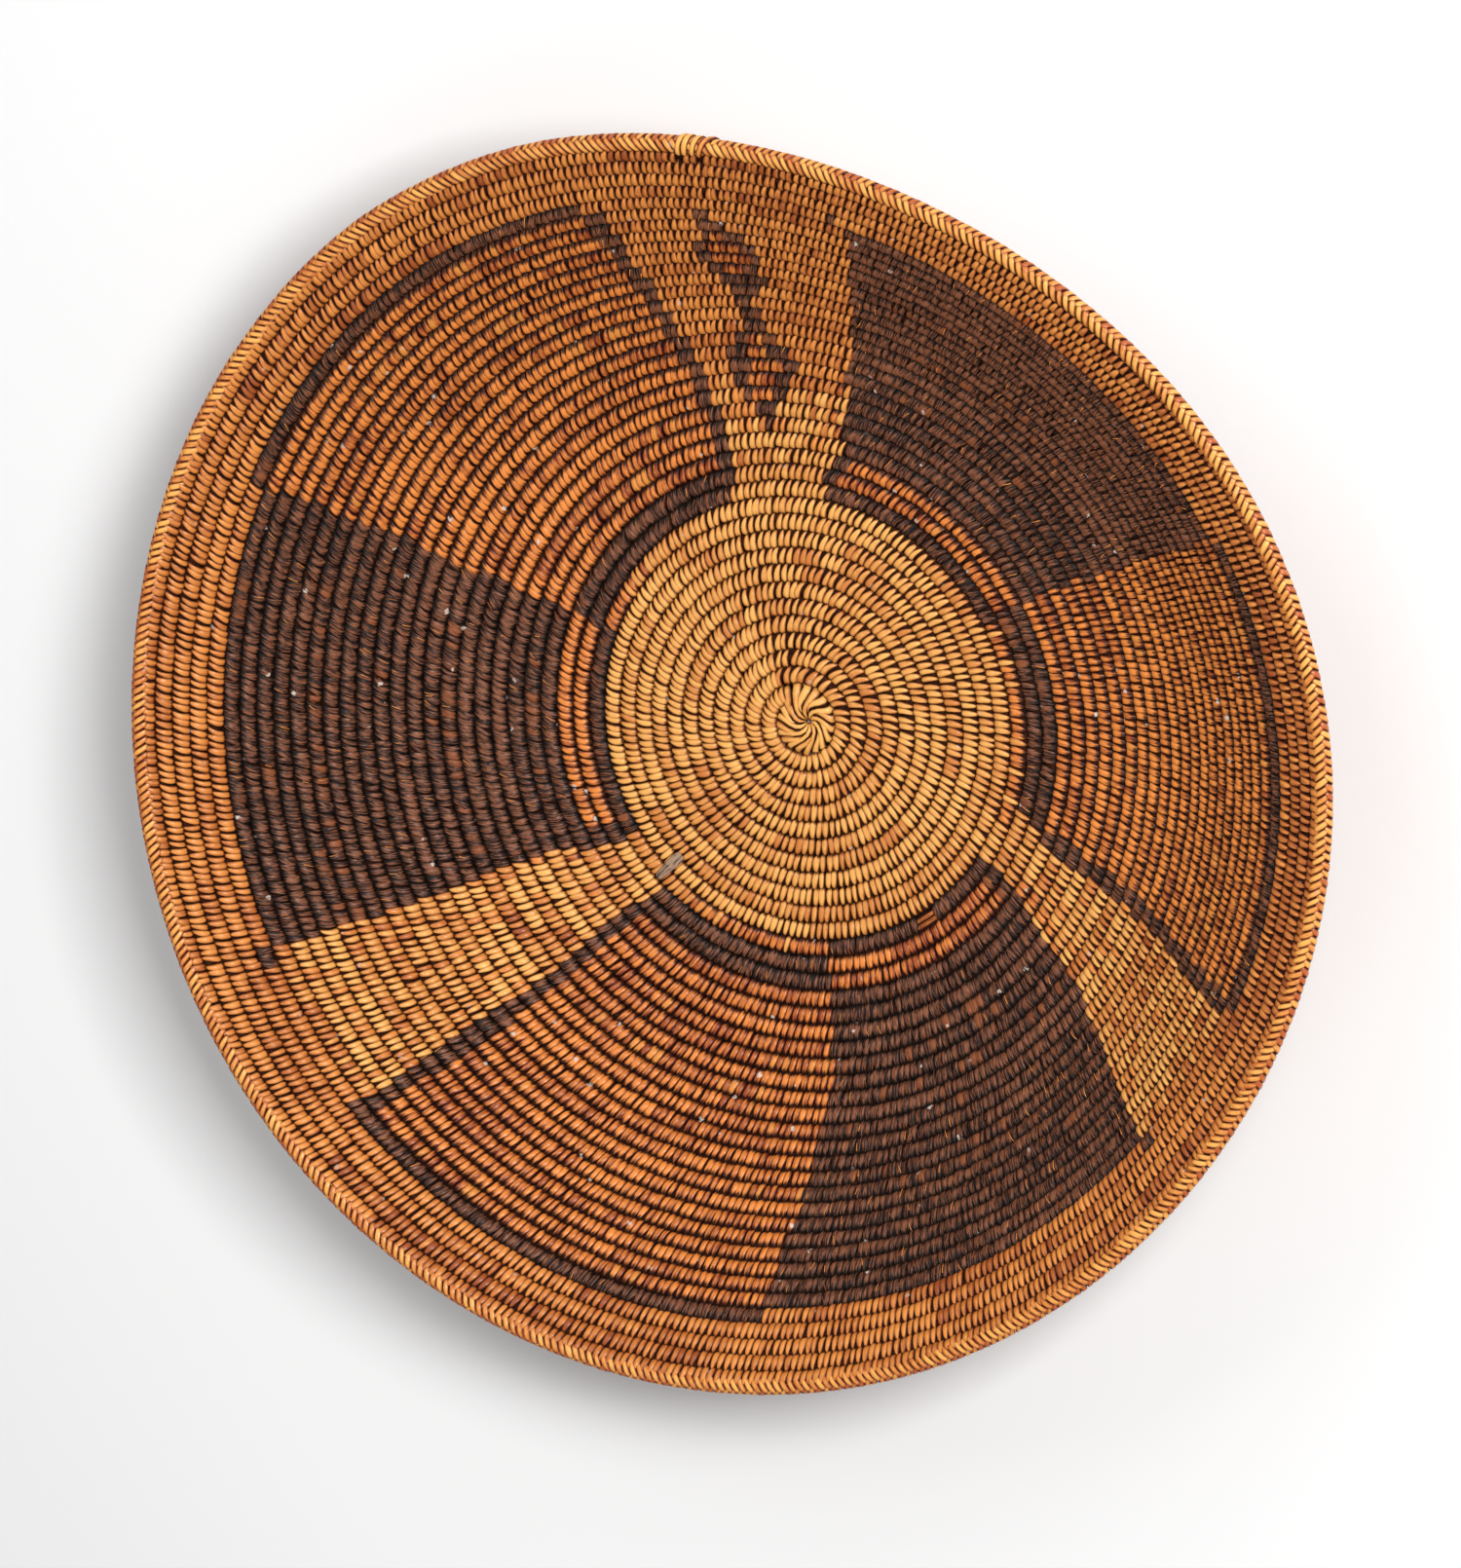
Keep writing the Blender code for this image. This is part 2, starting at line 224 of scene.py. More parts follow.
def splint_finish(
    name, pale, deep, stray, edge, grain=0.3, dull=0.4, gloss=0.3, border=(0.4, 0.96),
    ends=(0.7, 0.98), ragged=0.12, specks=0.4, stretch=FIBRE_STRETCH,
):
    """Finish of one splint: pale to deep by strand, with painted shade on its flanks, along its
    edges and at its tucked ends.

    Grain is how strongly the fibres show, and stretch how fine they are. Border and ends say
    where the painted shade at the edges and at the tucked ends begins and is full, and ragged how
    uneven it is.
    """
    made = Finish(name)
    fibre, (tone, tuck_shade, across) = made.strand()
    streak = made.noise(fibre, stretch).spread(*STREAK_RANGE)
    blotch = made.noise(fibre, BLOTCH_STRETCH, 1.0)
    # The strand's own tone, grain and blotches deepen it, and painted shade deepens its flanks and
    # its tucked ends
    worn = tone * TONE_DEPTH + streak * grain + blotch * BLOTCH_DEPTH
    worn = worn + across * across * FLANK_SHADE_DEPTH + tuck_shade * TUCK_SHADE_DEPTH - 0.5 * grain - DEPTH_START
    shade = made.mix(worn.spread(0.0, 1.0), pale, deep)
    shade = made.mix(tone.spread(*STRAY_RANGE) * STRAY_SHARE, shade, stray)
    # Painted shade along the strand's edges, where it meets its neighbours, in the edge colour
    rim = (across + (streak - 0.5) * ragged).spread(*border)
    shade = made.mix(rim * EDGE_SHADE_SHARE, shade, edge)
    # Painted shade at the strand's tucked ends, in the edge colour
    tuck_shade_mask = (tuck_shade + (blotch - 0.5) * TUCK_SHADE_BLOTCH + (streak - 0.5) * ragged).spread(*ends)
    shade = made.mix(tuck_shade_mask * TUCK_SHADE_SHARE, shade, edge)
    ground = made.wire("ShaderNodeTexCoord", {}, {}, "Object")
    cells = {"Vector": ground, "Scale": SPECK_SPACING}
    spot = made.wire("ShaderNodeTexVoronoi", {}, cells, "Distance")
    patch = made.noise(ground, PATCH_STRETCH, 1.0)
    crumb = made.noise(ground, CRUMB_STRETCH, 1.0)
    clear = (spot + (crumb - 0.5) * SPECK_CRUMBLE).spread(*SPECK_RANGE)
    dust = (1.0 - clear) * patch.spread(*PATCH_RANGE) * specks
    shade = made.mix(dust, shade, DUST)
    rough = dull + streak * STREAK_ROUGHNESS + dust * STREAK_ROUGHNESS
    bump = {"Height": streak, "Strength": SPLINT_BUMP + GRAIN_BUMP * grain, "Distance": FIBRE_DEPTH}
    made.surface("Base Color", shade)
    made.surface("Roughness", rough)
    made.surface("Coat Weight", gloss * (1.0 - rim) * (1.0 - tuck_shade_mask))
    made.surface("Coat Roughness", COAT_ROUGHNESS)
    made.surface("Specular IOR Level", SPLINT_SPECULAR)
    made.surface("Normal", made.wire("ShaderNodeBump", {}, bump))
    return made.material


STEM_STRETCH, STEM_RANGE = (0.08, 6.0, 1.0), (0.3, 0.75)
STEM_ROUGHNESS, STEM_SPECULAR = 0.9, 0.1
STEM_BUMP, STEM_BUMP_DEPTH = 0.6, 0.0002


def stem_finish(name, pale, deep):
    """Finish of the bundle of stems inside the coil."""
    made = Finish(name)
    fibre, _ = made.strand()
    stems = made.noise(fibre, STEM_STRETCH, 3.0)
    bump = {"Height": stems, "Strength": STEM_BUMP, "Distance": STEM_BUMP_DEPTH}
    made.surface("Base Color", made.mix(stems.spread(*STEM_RANGE), deep, pale))
    made.surface("Roughness", STEM_ROUGHNESS)
    made.surface("Specular IOR Level", STEM_SPECULAR)
    made.surface("Normal", made.wire("ShaderNodeBump", {}, bump))
    return made.material


# Each splint has pale, deep and stray tones of its own; its last colour is the edge colour of its
# painted shade
NATURAL = splint_finish(
    "natural_splint", colour(246, 181, 96), colour(198, 116, 50), colour(206, 124, 58),
    colour(58, 20, 8), ends=(0.66, 0.96),
)
UPPER = splint_finish(
    "upper_splint", colour(232, 148, 70), colour(166, 84, 37), colour(152, 74, 34),
    colour(50, 18, 8), grain=0.4,
)
ORANGE = splint_finish(
    "orange_dyed_splint", colour(237, 143, 64), colour(126, 45, 23), colour(234, 150, 68),
    colour(36, 12, 8), grain=0.5, border=(0.48, 1.0), ends=(0.36, 0.82), ragged=0.25, specks=0.9,
)
DARK = splint_finish(
    "dark_dyed_splint", colour(138, 86, 60), colour(33, 19, 16), colour(148, 84, 48),
    colour(14, 8, 6), grain=1.2, dull=0.5, gloss=0.1, border=(0.72, 1.25), ends=(0.36, 0.86),
    ragged=0.4, specks=0.9, stretch=FINE_STRETCH,
)
STEMS = stem_finish("foundation_stems", colour(70, 34, 17), colour(26, 11, 6))
NATURAL_SPLINT, ORANGE_SPLINT, DARK_SPLINT, STEM_BUNDLE, UPPER_SPLINT = range(5)
SPLINT_FINISHES = [NATURAL, ORANGE, DARK, STEMS, UPPER]


# Start of the coil
# The splint's first strands wrap a small ring of stems round a pinhole. They fan out from
# the hole like a swirl, and the coil's first round leaves the ring at its edge.
STRAND_ACROSS = np.array([-1.0, -0.68, 0.0, 0.68, 1.0])
STRAND_CROWN = np.array([0.0, 0.78, 1.0, 0.78, 0.0])
LEAST_RADIUS = 0.0005
BUNDLE_POINTS, BUNDLE_SQUARENESS = 10, 0.6
# Each strand has a cell of its own on the piece's map, with its two end faces beside it
CELL_ROWS_A_COLUMN = 3.0
CELL_LEFT, CELL_LOW, CELL_FILL = 0.06, 0.05, 0.9
CAP_LEFT, CAP_WIDE, CAP_HIGH, CAP_SHIFT = 0.025, 0.02, 0.4, 0.95
# Every other strand of the swirl stops short of the hole and lies under its neighbours
SWIRL_STRANDS = 20
SWIRL_HOLE, SWIRL_SHORT_HOLE = 0.0007, 0.0027
SWIRL_SHORT, SWIRL_LONG = 0.0094, 0.0128
SWIRL_FILL, SWIRL_BROAD, SWIRL_NARROW_PLACE = 0.92, 0.00076, 0.0012
SWIRL_THICKNESS = 0.0019
SWIRL_RISE, SWIRL_OVER_RISE = 0.0006, 0.00015
SWIRL_ANGLE = math.radians(150.0)
SWIRL_TWIST, SWIRL_TWIST_PHASE = math.radians(44.0), math.radians(200.0)
SWIRL_TWIST_CHANGE, SWIRL_HOOK, SWIRL_TOP_SHARE = 0.15, 0.35, 0.45
SWIRL_PLACE_CHANCE, SWIRL_LENGTH_CHANCE, SWIRL_THICK_CHANCE = 0.003, 0.0002, 0.05
SWIRL_TUCKED, SWIRL_TONES = 0.75, 0.8
SWIRL_PULL = np.array([0.0019, 0.0004, 0.0])
SWIRL_REACH = 0.0105
SWIRL_RING_STEPS, SWIRL_RING_REACH, SWIRL_RING_DEPTH = 37, 0.0046, 0.0018
WRAP_ANGLES = np.radians([
    -90.0, -48.0, -10.0, 16.0, 40.0, 64.0, 88.0, 110.0, 130.0, 148.0, 166.0, 194.0, 232.0, 270.0,
])


def lay_strands(turn, angle, along, lift, sweep, half_width, rise):
    """Rings of points for strands wrapped round a bundle, one row of steps a strand.

    Along and lift are a strand's path over the wall's middle surface, from underneath by way
    of the outer side to the inside of the bowl. Sweep is its lean, as an angle.
    """
    turn, angle = turn[:, None, None], angle[:, None, None]
    slope = slope_at(turn)
    radius = radius_at(turn)
    along, lift, sweep, half_width, rise = [
        part[..., None] for part in np.broadcast_arrays(along, lift, sweep, half_width, rise)
    ]
    local = np.maximum(radius + along * np.cos(slope) - lift * np.sin(slope), LEAST_RADIUS)
    run_round = np.gradient(sweep, axis=1) * local
    run_out, run_up = np.gradient(along, axis=1), np.gradient(lift, axis=1)
    over = np.hypot(run_out, run_up)
    run = np.hypot(over, run_round)
    run_out, run_up = run_out / over, run_up / over
    side = half_width * STRAND_ACROSS
    crown = rise * STRAND_CROWN
    at = sweep + side * over / run / local
    slide = side * run_round / run
    out = along - slide * run_out + crown * run_up
    up = lift - slide * run_up - crown * run_out
    length = np.cumsum(run, axis=1) * 1000.0
    fibre = np.stack(np.broadcast_arrays(length, STRAND_ACROSS, 0.0 * at), -1)
    return wall_points(turn + at / FULL_TURN, angle + at, out, up), fibre


def lay_bundle(turn, angle, middle, reach, depth, points=BUNDLE_POINTS, height=0.0):
    """One tube of stems along the coil, through the given turns."""
    phi = -np.arange(points) * FULL_TURN / points
    along = middle + reach * np.cos(phi)
    lift = height + depth * np.sin(phi) * np.abs(np.sin(phi)) ** BUNDLE_SQUARENESS
    rings = wall_points(turn[:, None], angle[:, None], along, lift)[None]
    radius = radius_at(turn)
    length = radius[:, None] * angle[:, None] * 1000.0
    fibre = np.stack(np.broadcast_arrays(length, phi, 0.0 * length), -1)[None]
    return rings, fibre


def put_in_scene(name, data):
    made = bpy.data.objects.new(name, data)
    bpy.context.scene.collection.objects.link(made)
    return made


class Sewing:
    """Strands and bundles of one piece, kept until its mesh is made."""

    def __init__(self):
        self.parts = []

    def add(self, rings, fibre, finish, tone, tuck_shade, cell_steps=None, edge=1.0):
        """Tubes of rings, with a finish and a tone for each tube and an amount of painted shade at
        its tucked ends for each ring; edge scales the painted shade toward the strand's edges.
        """
        count, steps, points = rings.shape[:3]
        tone, tuck_shade = np.broadcast_to(tone, count), np.broadcast_to(tuck_shade, (count, steps))
        fibre = fibre.copy()
        fibre[..., 2] = chance.random((count, 1, 1))
        across = np.zeros(rings.shape[:3])
        if points == len(STRAND_ACROSS):
            across = across + edge * np.abs(STRAND_ACROSS)
        tone_and_shade = np.stack(np.broadcast_arrays(tone[:, None, None], tuck_shade[..., None], across), -1)
        finish = np.broadcast_to(finish, count)
        self.parts.append((rings, fibre, finish, tone_and_shade, cell_steps or steps - 1))

    def piece(self, name, finishes):
        """The mesh of all tubes, closed at their ends, with a map of one cell a strand."""
        cells = 0
        for rings, *_, cell_steps in self.parts:
            cells += rings.shape[0] * math.ceil((rings.shape[1] - 1) / cell_steps)
        columns = max(1, round(math.sqrt(cells / CELL_ROWS_A_COLUMN)))
        rows = math.ceil(cells / columns)
        corners, sizes, maps, kinds, first_point, first_cell = [], [], [], [], 0, 0
        for rings, _, finish, _, cell_steps in self.parts:
            count, steps, points = rings.shape[:3]
            index = first_point + np.arange(count * steps * points).reshape(count, steps, points)
            here, beyond = index[:, :-1], index[:, 1:]
            faces = np.stack([here, np.roll(here, -1, 2), np.roll(beyond, -1, 2), beyond], -1)
            corners.append(faces.ravel())
            sizes.append(np.full(faces.size // 4, 4))
            kinds.append(np.repeat(finish, (steps - 1) * points))
            step = np.arange(steps - 1)
            chunks = math.ceil((steps - 1) / cell_steps)
            cell = first_cell + np.arange(count)[:, None] * chunks + step // cell_steps
            column, row = cell % columns, cell // columns
            left = CELL_LEFT + CELL_FILL * (step % cell_steps) / cell_steps
            low = CELL_LOW + CELL_FILL * np.arange(points) / points
            wide = np.array([0, 0, 1, 1]) * CELL_FILL / cell_steps
            high = np.array([0, 1, 1, 0]) * CELL_FILL / points
            u = (column[..., None, None] + left[None, :, None, None] + wide) / columns
            v = (row[..., None, None] + low[None, None, :, None] + high) / rows
            maps.append(np.stack(np.broadcast_arrays(u, v), -1).reshape(-1, 2))
            turn = np.arange(points) * FULL_TURN / points
            for end, order in ((0, slice(None, None, -1)), (-1, slice(None))):
                corners.append(index[:, end, order].ravel())
                sizes.append(np.full(count, points))
                kinds.append(finish)
                shift = CAP_SHIFT if end else 0.0
                u = column[:, end, None] + CAP_LEFT + CAP_WIDE * np.cos(turn)[order] + shift
                v = row[:, end, None] + 0.5 + CAP_HIGH * np.sin(turn)[order]
                maps.append(np.stack([u / columns, v / rows], -1).reshape(-1, 2))
            first_point += index.size
            first_cell += count * chunks
        mesh = bpy.data.meshes.new(name)
        points = np.concatenate([part[0].reshape(-1, 3) for part in self.parts])
        corners, sizes = np.concatenate(corners), np.concatenate(sizes)
        mesh.vertices.add(len(points))
        mesh.vertices.foreach_set("co", points.astype(np.float32).ravel())
        mesh.loops.add(len(corners))
        mesh.loops.foreach_set("vertex_index", corners.astype(np.int32))
        mesh.polygons.add(len(sizes))
        mesh.polygons.foreach_set("loop_start", (np.cumsum(sizes) - sizes).astype(np.int32))
        for finish in finishes:
            mesh.materials.append(finish)
        mesh.update(calc_edges=True)
        mesh.polygons.foreach_set("material_index", np.concatenate(kinds).astype(np.int32))
        mesh.polygons.foreach_set("use_smooth", np.ones(len(sizes), bool))
        for label, place in (("fibre", 1), ("tone_and_shade", 3)):
            values = np.concatenate([part[place].reshape(-1, 3) for part in self.parts])
            store = mesh.attributes.new(label, "FLOAT_VECTOR", "POINT")
            store.data.foreach_set("vector", values.astype(np.float32).ravel())
        layer = mesh.uv_layers.new(name="OFBake")
        layer.data.foreach_set("uv", np.concatenate(maps).astype(np.float32).ravel())
        mesh.update()
        made = put_in_scene(name, mesh)
        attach(made, "root")
        return made


def pull_swirl(rings):
    """The same rings drawn toward the pinhole, which is a little off the coil's middle."""
    share = np.hypot(rings[..., 0], rings[..., 1]) / SWIRL_REACH
    return rings + SWIRL_PULL * np.maximum(1.0 - share * share, 0.0)[..., None]


def make_swirl():
    shares = np.arange(SWIRL_STRANDS) / SWIRL_STRANDS
    turned = shares + SWIRL_PLACE_CHANCE * chance.standard_normal(SWIRL_STRANDS)
    uneven = SWIRL_LENGTH_CHANCE * chance.standard_normal(SWIRL_STRANDS)
    long = (SWIRL_SHORT + (SWIRL_LONG - SWIRL_SHORT) * turned + uneven)[:, None]
    under = (np.arange(SWIRL_STRANDS) % 2 == 1)[:, None]
    hole = np.where(under, SWIRL_SHORT_HOLE, SWIRL_HOLE)
    reach = 0.5 * (long - hole)
    centre = 0.5 * (long + hole)
    angle = SWIRL_ANGLE + FULL_TURN * turned
    phi = WRAP_ANGLES[None]
    change = SWIRL_TWIST_CHANGE * np.sin(angle + SWIRL_TWIST_PHASE)
    twist = SWIRL_TWIST * (1.0 - SWIRL_TWIST_CHANGE + change)[:, None]
    top = 0.5 + 0.5 * np.sin(phi)
    sweep = -twist * (np.cos(phi) * top - SWIRL_HOOK * top * top * np.cos(phi) ** 2)
    along = reach * np.cos(phi)
    thick = 1.0 + SWIRL_THICK_CHANCE * chance.standard_normal(reach.shape)
    lift = SWIRL_THICKNESS * thick * np.sin(phi)
    place = np.maximum(centre + along, SWIRL_NARROW_PLACE)
    even = 0.5 * FULL_TURN / SWIRL_STRANDS * place * SWIRL_FILL
    half = np.where(under, even, np.maximum(even, np.minimum(2.0 * even, SWIRL_BROAD)))
    swell = 1.0 - SWIRL_TOP_SHARE + SWIRL_TOP_SHARE * np.sin(phi)
    rise = (SWIRL_RISE + SWIRL_OVER_RISE * ~under) * swell
    swirl = Sewing()
    rings, fibre = lay_strands(centre[:, 0] / COIL_PITCH, angle, along, lift, sweep, half, rise)
    # Painted shade on both ends of each strand, where it turns under
    tuck_shade = eased((SWIRL_TUCKED - np.abs(np.sin(phi))) / SWIRL_TUCKED)
    tone = SWIRL_TONES * chance.random(SWIRL_STRANDS)
    swirl.add(pull_swirl(rings), fibre, NATURAL_SPLINT, tone, tuck_shade)
    shares = np.linspace(0.0, 1.0, SWIRL_RING_STEPS)
    outer = SWIRL_SHORT + (SWIRL_LONG - SWIRL_SHORT) * shares
    ring_turn = 0.5 * (outer + SWIRL_HOLE) / COIL_PITCH
    ring_angle = SWIRL_ANGLE + FULL_TURN * shares
    rings, fibre = lay_bundle(ring_turn, ring_angle, 0.0, SWIRL_RING_REACH, SWIRL_RING_DEPTH)
    swirl.add(pull_swirl(rings), fibre, STEM_BUNDLE, 0.0, 0.0)
    made = swirl.piece("start_swirl", SPLINT_FINISHES)
    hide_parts("start_knot", "coil_round_01")


make_swirl()

# Base of the tray
# The coil goes on round and round in natural splint. Every stitch wraps the new bundle and
# catches the round before it, leaning so that its inner end is ahead of its outer one.
STITCH_PITCH = 0.00232
STITCH_HALF_WIDTH = 0.00112
STITCH_BEND = 0.22
STEM_REACH, STEM_DEPTH = 0.00276, 0.0019
LEAN_TURNS, LEANS = [3.0, 10.0, 18.0, 36.0], np.radians([22.0, 15.0, 16.0, 13.5])
SWAY_TURNS, SWAYS = [10.0, 18.0], np.radians([3.0, 8.0])
SWAY_PHASES = np.radians([120.0, 156.0])
STRAND_STITCHES = 14
LAST_BASE_ROUND = 12
STEM_CELL_STEPS, STITCHES_PER_STEM_STEP, LEAST_STEM_STEPS = 12, 4, 24
# Path of one stitch in millimetres: along the wall, up from it, share of the lean, share of
# the width and height of the crown; it is broad at its inner end and narrows outwards
STITCH_PATH = np.array([
    (0.00, -2.20, -1.0, 0.95, 0.45),
    (1.30, -1.98, -1.0, 0.85, 0.45),
    (2.15, -1.25, -1.0, 0.60, 0.35),
    (2.45, -0.20, -1.0, 0.40, 0.22),
    (2.34, 0.70, -0.97, 0.34, 0.24),
    (2.02, 1.36, -0.82, 0.48, 0.34),
    (1.35, 1.86, -0.52, 0.74, 0.46),
    (0.45, 2.14, -0.16, 0.96, 0.54),
    (-0.55, 2.24, 0.24, 1.10, 0.56),
    (-1.55, 2.18, 0.58, 1.16, 0.54),
    (-2.40, 1.98, 0.83, 1.12, 0.50),
    (-2.98, 1.60, 0.95, 0.94, 0.42),
    (-3.26, 0.90, 1.0, 0.66, 0.28),
    (-3.22, -0.60, 1.0, 0.55, 0.25),
    (-2.60, -1.62, 1.0, 0.95, 0.40),
    (-1.40, -2.08, 1.0, 1.00, 0.45),
    (0.00, -2.20, 1.0, 0.95, 0.45),
])
STITCH_MIDDLE, STITCH_END = -0.45, 2.75
BELOW_FROM, BELOW_OVER = 0.2, 2.0
THIN_WIDTH_SHARE = 0.45
# How uneven hand sewing is: place, lean, bow, width, crown and tightness of single stitches,
# a slow swell of the coil, and how far in a stitch catches the round before it
PLACE_CHANCE, LEAN_CHANCE, BEND_CHANCE = 0.05, 0.16, 0.7
WIDTH_CHANCE, CROWN_CHANCE, TIGHT_CHANCE = 0.09, 0.18, 0.012
SWELL_CHANCE, SWELL_STITCHES = 0.018, 30
CATCH_CHANCE, CATCH_MOST, CATCH_FROM = 0.055, 1.5, -1.0
STRAND_TONES, STITCH_TONES = 0.6, 0.4
STRAY_TONE = 0.83
# Splint dyed near black is brittle: less even, a little wider and flatter
DARK_UNEVEN, DARK_WIDER, DARK_FLATTER = 0.7, 0.08, 0.35
# On the wall the stitches are broad at their outer end and lie down on the round inside them,
# and more so where the splint is dyed
WALL_ROUNDS = 4.0
WALL_WIDTH, WALL_BROADER, DYED_BROADER = 1.06, 0.05, 0.55
WALL_LOWER, DYED_LOWER = 0.12, 0.2
STITCH_TOP, STITCH_INNER = 0.3, -2.0
# Fibres split off some dark stitches; some have lost their dye
FRAY_SPAN, FRAY_STEPS = slice(4, 12), 6
FRAY_SHARE, FRAY_LENGTH, FRAY_STRAY, FRAY_HALF_WIDTH = 0.8, 3.2, 0.9, 0.00015
FRAY_CLEAR, FRAY_LIFT, FRAY_TAPER = 0.12, 0.35, 0.4
FRAY_PALE_SHARE, FRAY_PALE_TONE, FRAY_DEEP_TONE = 0.6, 0.95, 0.1
FRAY_UNDYED_SHARE, FRAY_EDGE = 0.2, 0.3
# The coil's thickness as a share of its pitch, and what its end loses: how much, from which
# share of the last round on, over what length
COIL_FILL = 0.917
END_LOSSES = [(0.6, 0.74, 0.13), (0.2, 0.95, 0.05)]


def coil_size(turn):
    """Thickness of the coil as a share of its full size: only the rim's end thins out."""
    share = turn - START_TURN - (ROUND_COUNT - 1)
    size = 1.0
    for loss, start, length in END_LOSSES:
        size = size - loss * eased((share - start) / length)
    return size


def coil_line(turn):
    """Turn of the coil's middle line; its thinned end stays against the round inside it."""
    return turn - 0.5 * (1.0 - coil_size(turn)) * COIL_FILL


def lay_frays(sewing, turn, face, radius):
    """Split fibres that lie loose on some stitches, one on each stitch at these turns."""
    count = len(turn)
    along, lift, lean_share, _, crown = STITCH_PATH[FRAY_SPAN][::-1].T
    steps = np.linspace(0.0, 1.0, FRAY_STEPS)
    begin = chance.uniform(along[0] + FRAY_LENGTH, along[-1], (count, 1))
    place = begin - FRAY_LENGTH * steps * chance.uniform(0.5, 1.0, (count, 1))
    curl = chance.uniform(-1.0, 1.0, (count, 1)) * steps + chance.uniform(-1.0, 1.0, (count, 1))
    stand = FRAY_CLEAR + FRAY_LIFT * chance.random((count, 1)) * steps**2
    lift = 0.001 * (np.interp(place, along, lift + crown) + stand)
    sweep = np.interp(place, along, lean_share) * face + 0.001 * FRAY_STRAY * curl / radius
    thick = FRAY_HALF_WIDTH * (1.0 - FRAY_TAPER * steps) * np.ones((count, 1))
    line, angle = coil_line(turn), angle_at(turn)
    rings, fibre = lay_strands(line, angle, 0.001 * place, lift, sweep, thick, thick)
    pale = chance.random(count) < FRAY_PALE_SHARE
    tone = np.where(pale, FRAY_PALE_TONE, FRAY_DEEP_TONE)
    finish = np.where(chance.random(count) < FRAY_UNDYED_SHARE, UPPER_SPLINT, DARK_SPLINT)
    sewing.add(rings, fibre, finish, tone, 0.0, None, FRAY_EDGE)


# Where the splint's tone is deeper: the upper wall on one side, a strip beside the seam, and
# the foot of the wall. Dyed splint is paler on two sides of the wall
DEEP_SIDE, DEEP_SIDE_NARROW = 0.0, 12
SEAM_STRIP, SEAM_NARROW = 0.5 * math.pi, 40
DEEP_SIDE_DEPTH, DEEP_SIDE_FROM, DEEP_SIDE_OVER = 0.4, 35.0, 3.0
FOOT_DEPTH, FOOT_FROM, FOOT_OVER, FOOT_TO, FOOT_FALL = 0.12, 12.0, 2.0, 20.0, 4.0
ORANGE_SEAM_DEPTH, ORANGE_PALER, ORANGE_PALER_FROM = 0.3, 0.3, 18.0
DARK_DEPTH, DARK_PALER, DARK_PALER_FROM, DARK_PALER_SIDE = 0.2, 0.4, 20.0, 0.9
PALER_OVER = 6.0


def on_side(angle, middle, narrow=1):
    """From 1 at the middle angle to 0 a quarter round from it, or sooner where narrow."""
    return np.maximum(np.cos(angle - middle), 0.0) ** narrow


def side_deepening(turn, finish):
    """How much deeper the splint's tone is at these turns, by its side of the tray."""
    angle = angle_at(turn)
    deep_side = on_side(angle, DEEP_SIDE, DEEP_SIDE_NARROW)
    seam = on_side(angle, SEAM_STRIP, SEAM_NARROW)
    upper = eased((turn - DEEP_SIDE_FROM) / DEEP_SIDE_OVER)
    foot = eased((FOOT_TO - turn) / FOOT_FALL) * eased((turn - FOOT_FROM) / FOOT_OVER)
    deeper = DEEP_SIDE_DEPTH * deep_side * upper + FOOT_DEPTH * foot
    paler = deep_side * eased((turn - ORANGE_PALER_FROM) / PALER_OVER)
    orange = ORANGE_SEAM_DEPTH * seam - ORANGE_PALER * paler
    paler = on_side(angle, DARK_PALER_SIDE) * eased((turn - DARK_PALER_FROM) / PALER_OVER)
    dark = DARK_DEPTH - DARK_PALER * paler
    return deeper + orange * (finish == ORANGE_SPLINT) + dark * (finish == DARK_SPLINT)


def stitch_leans(turn):
    """Lean of the stitches at these turns: it changes with the turn and round the tray."""
    phase = np.interp(turn, SWAY_TURNS, SWAY_PHASES)
    sway = np.interp(turn, SWAY_TURNS, SWAYS) * np.cos(angle_at(turn) - phase)
    return np.interp(turn, LEAN_TURNS, LEANS) + sway


def splint_tones(turn, finish):
    """Tone of each stitch: one for each strand that was used up, and a little of its own."""
    strand = np.cumsum(chance.random(len(turn)) < 1.0 / STRAND_STITCHES)
    tone = STRAND_TONES * chance.random(strand[-1] + 1)[strand]
    tone = tone + STITCH_TONES * chance.random(len(turn))
    side_toned = np.minimum(tone + side_deepening(turn, finish), STRAY_TONE)
    return np.where(tone < STRAY_TONE, side_toned, tone)


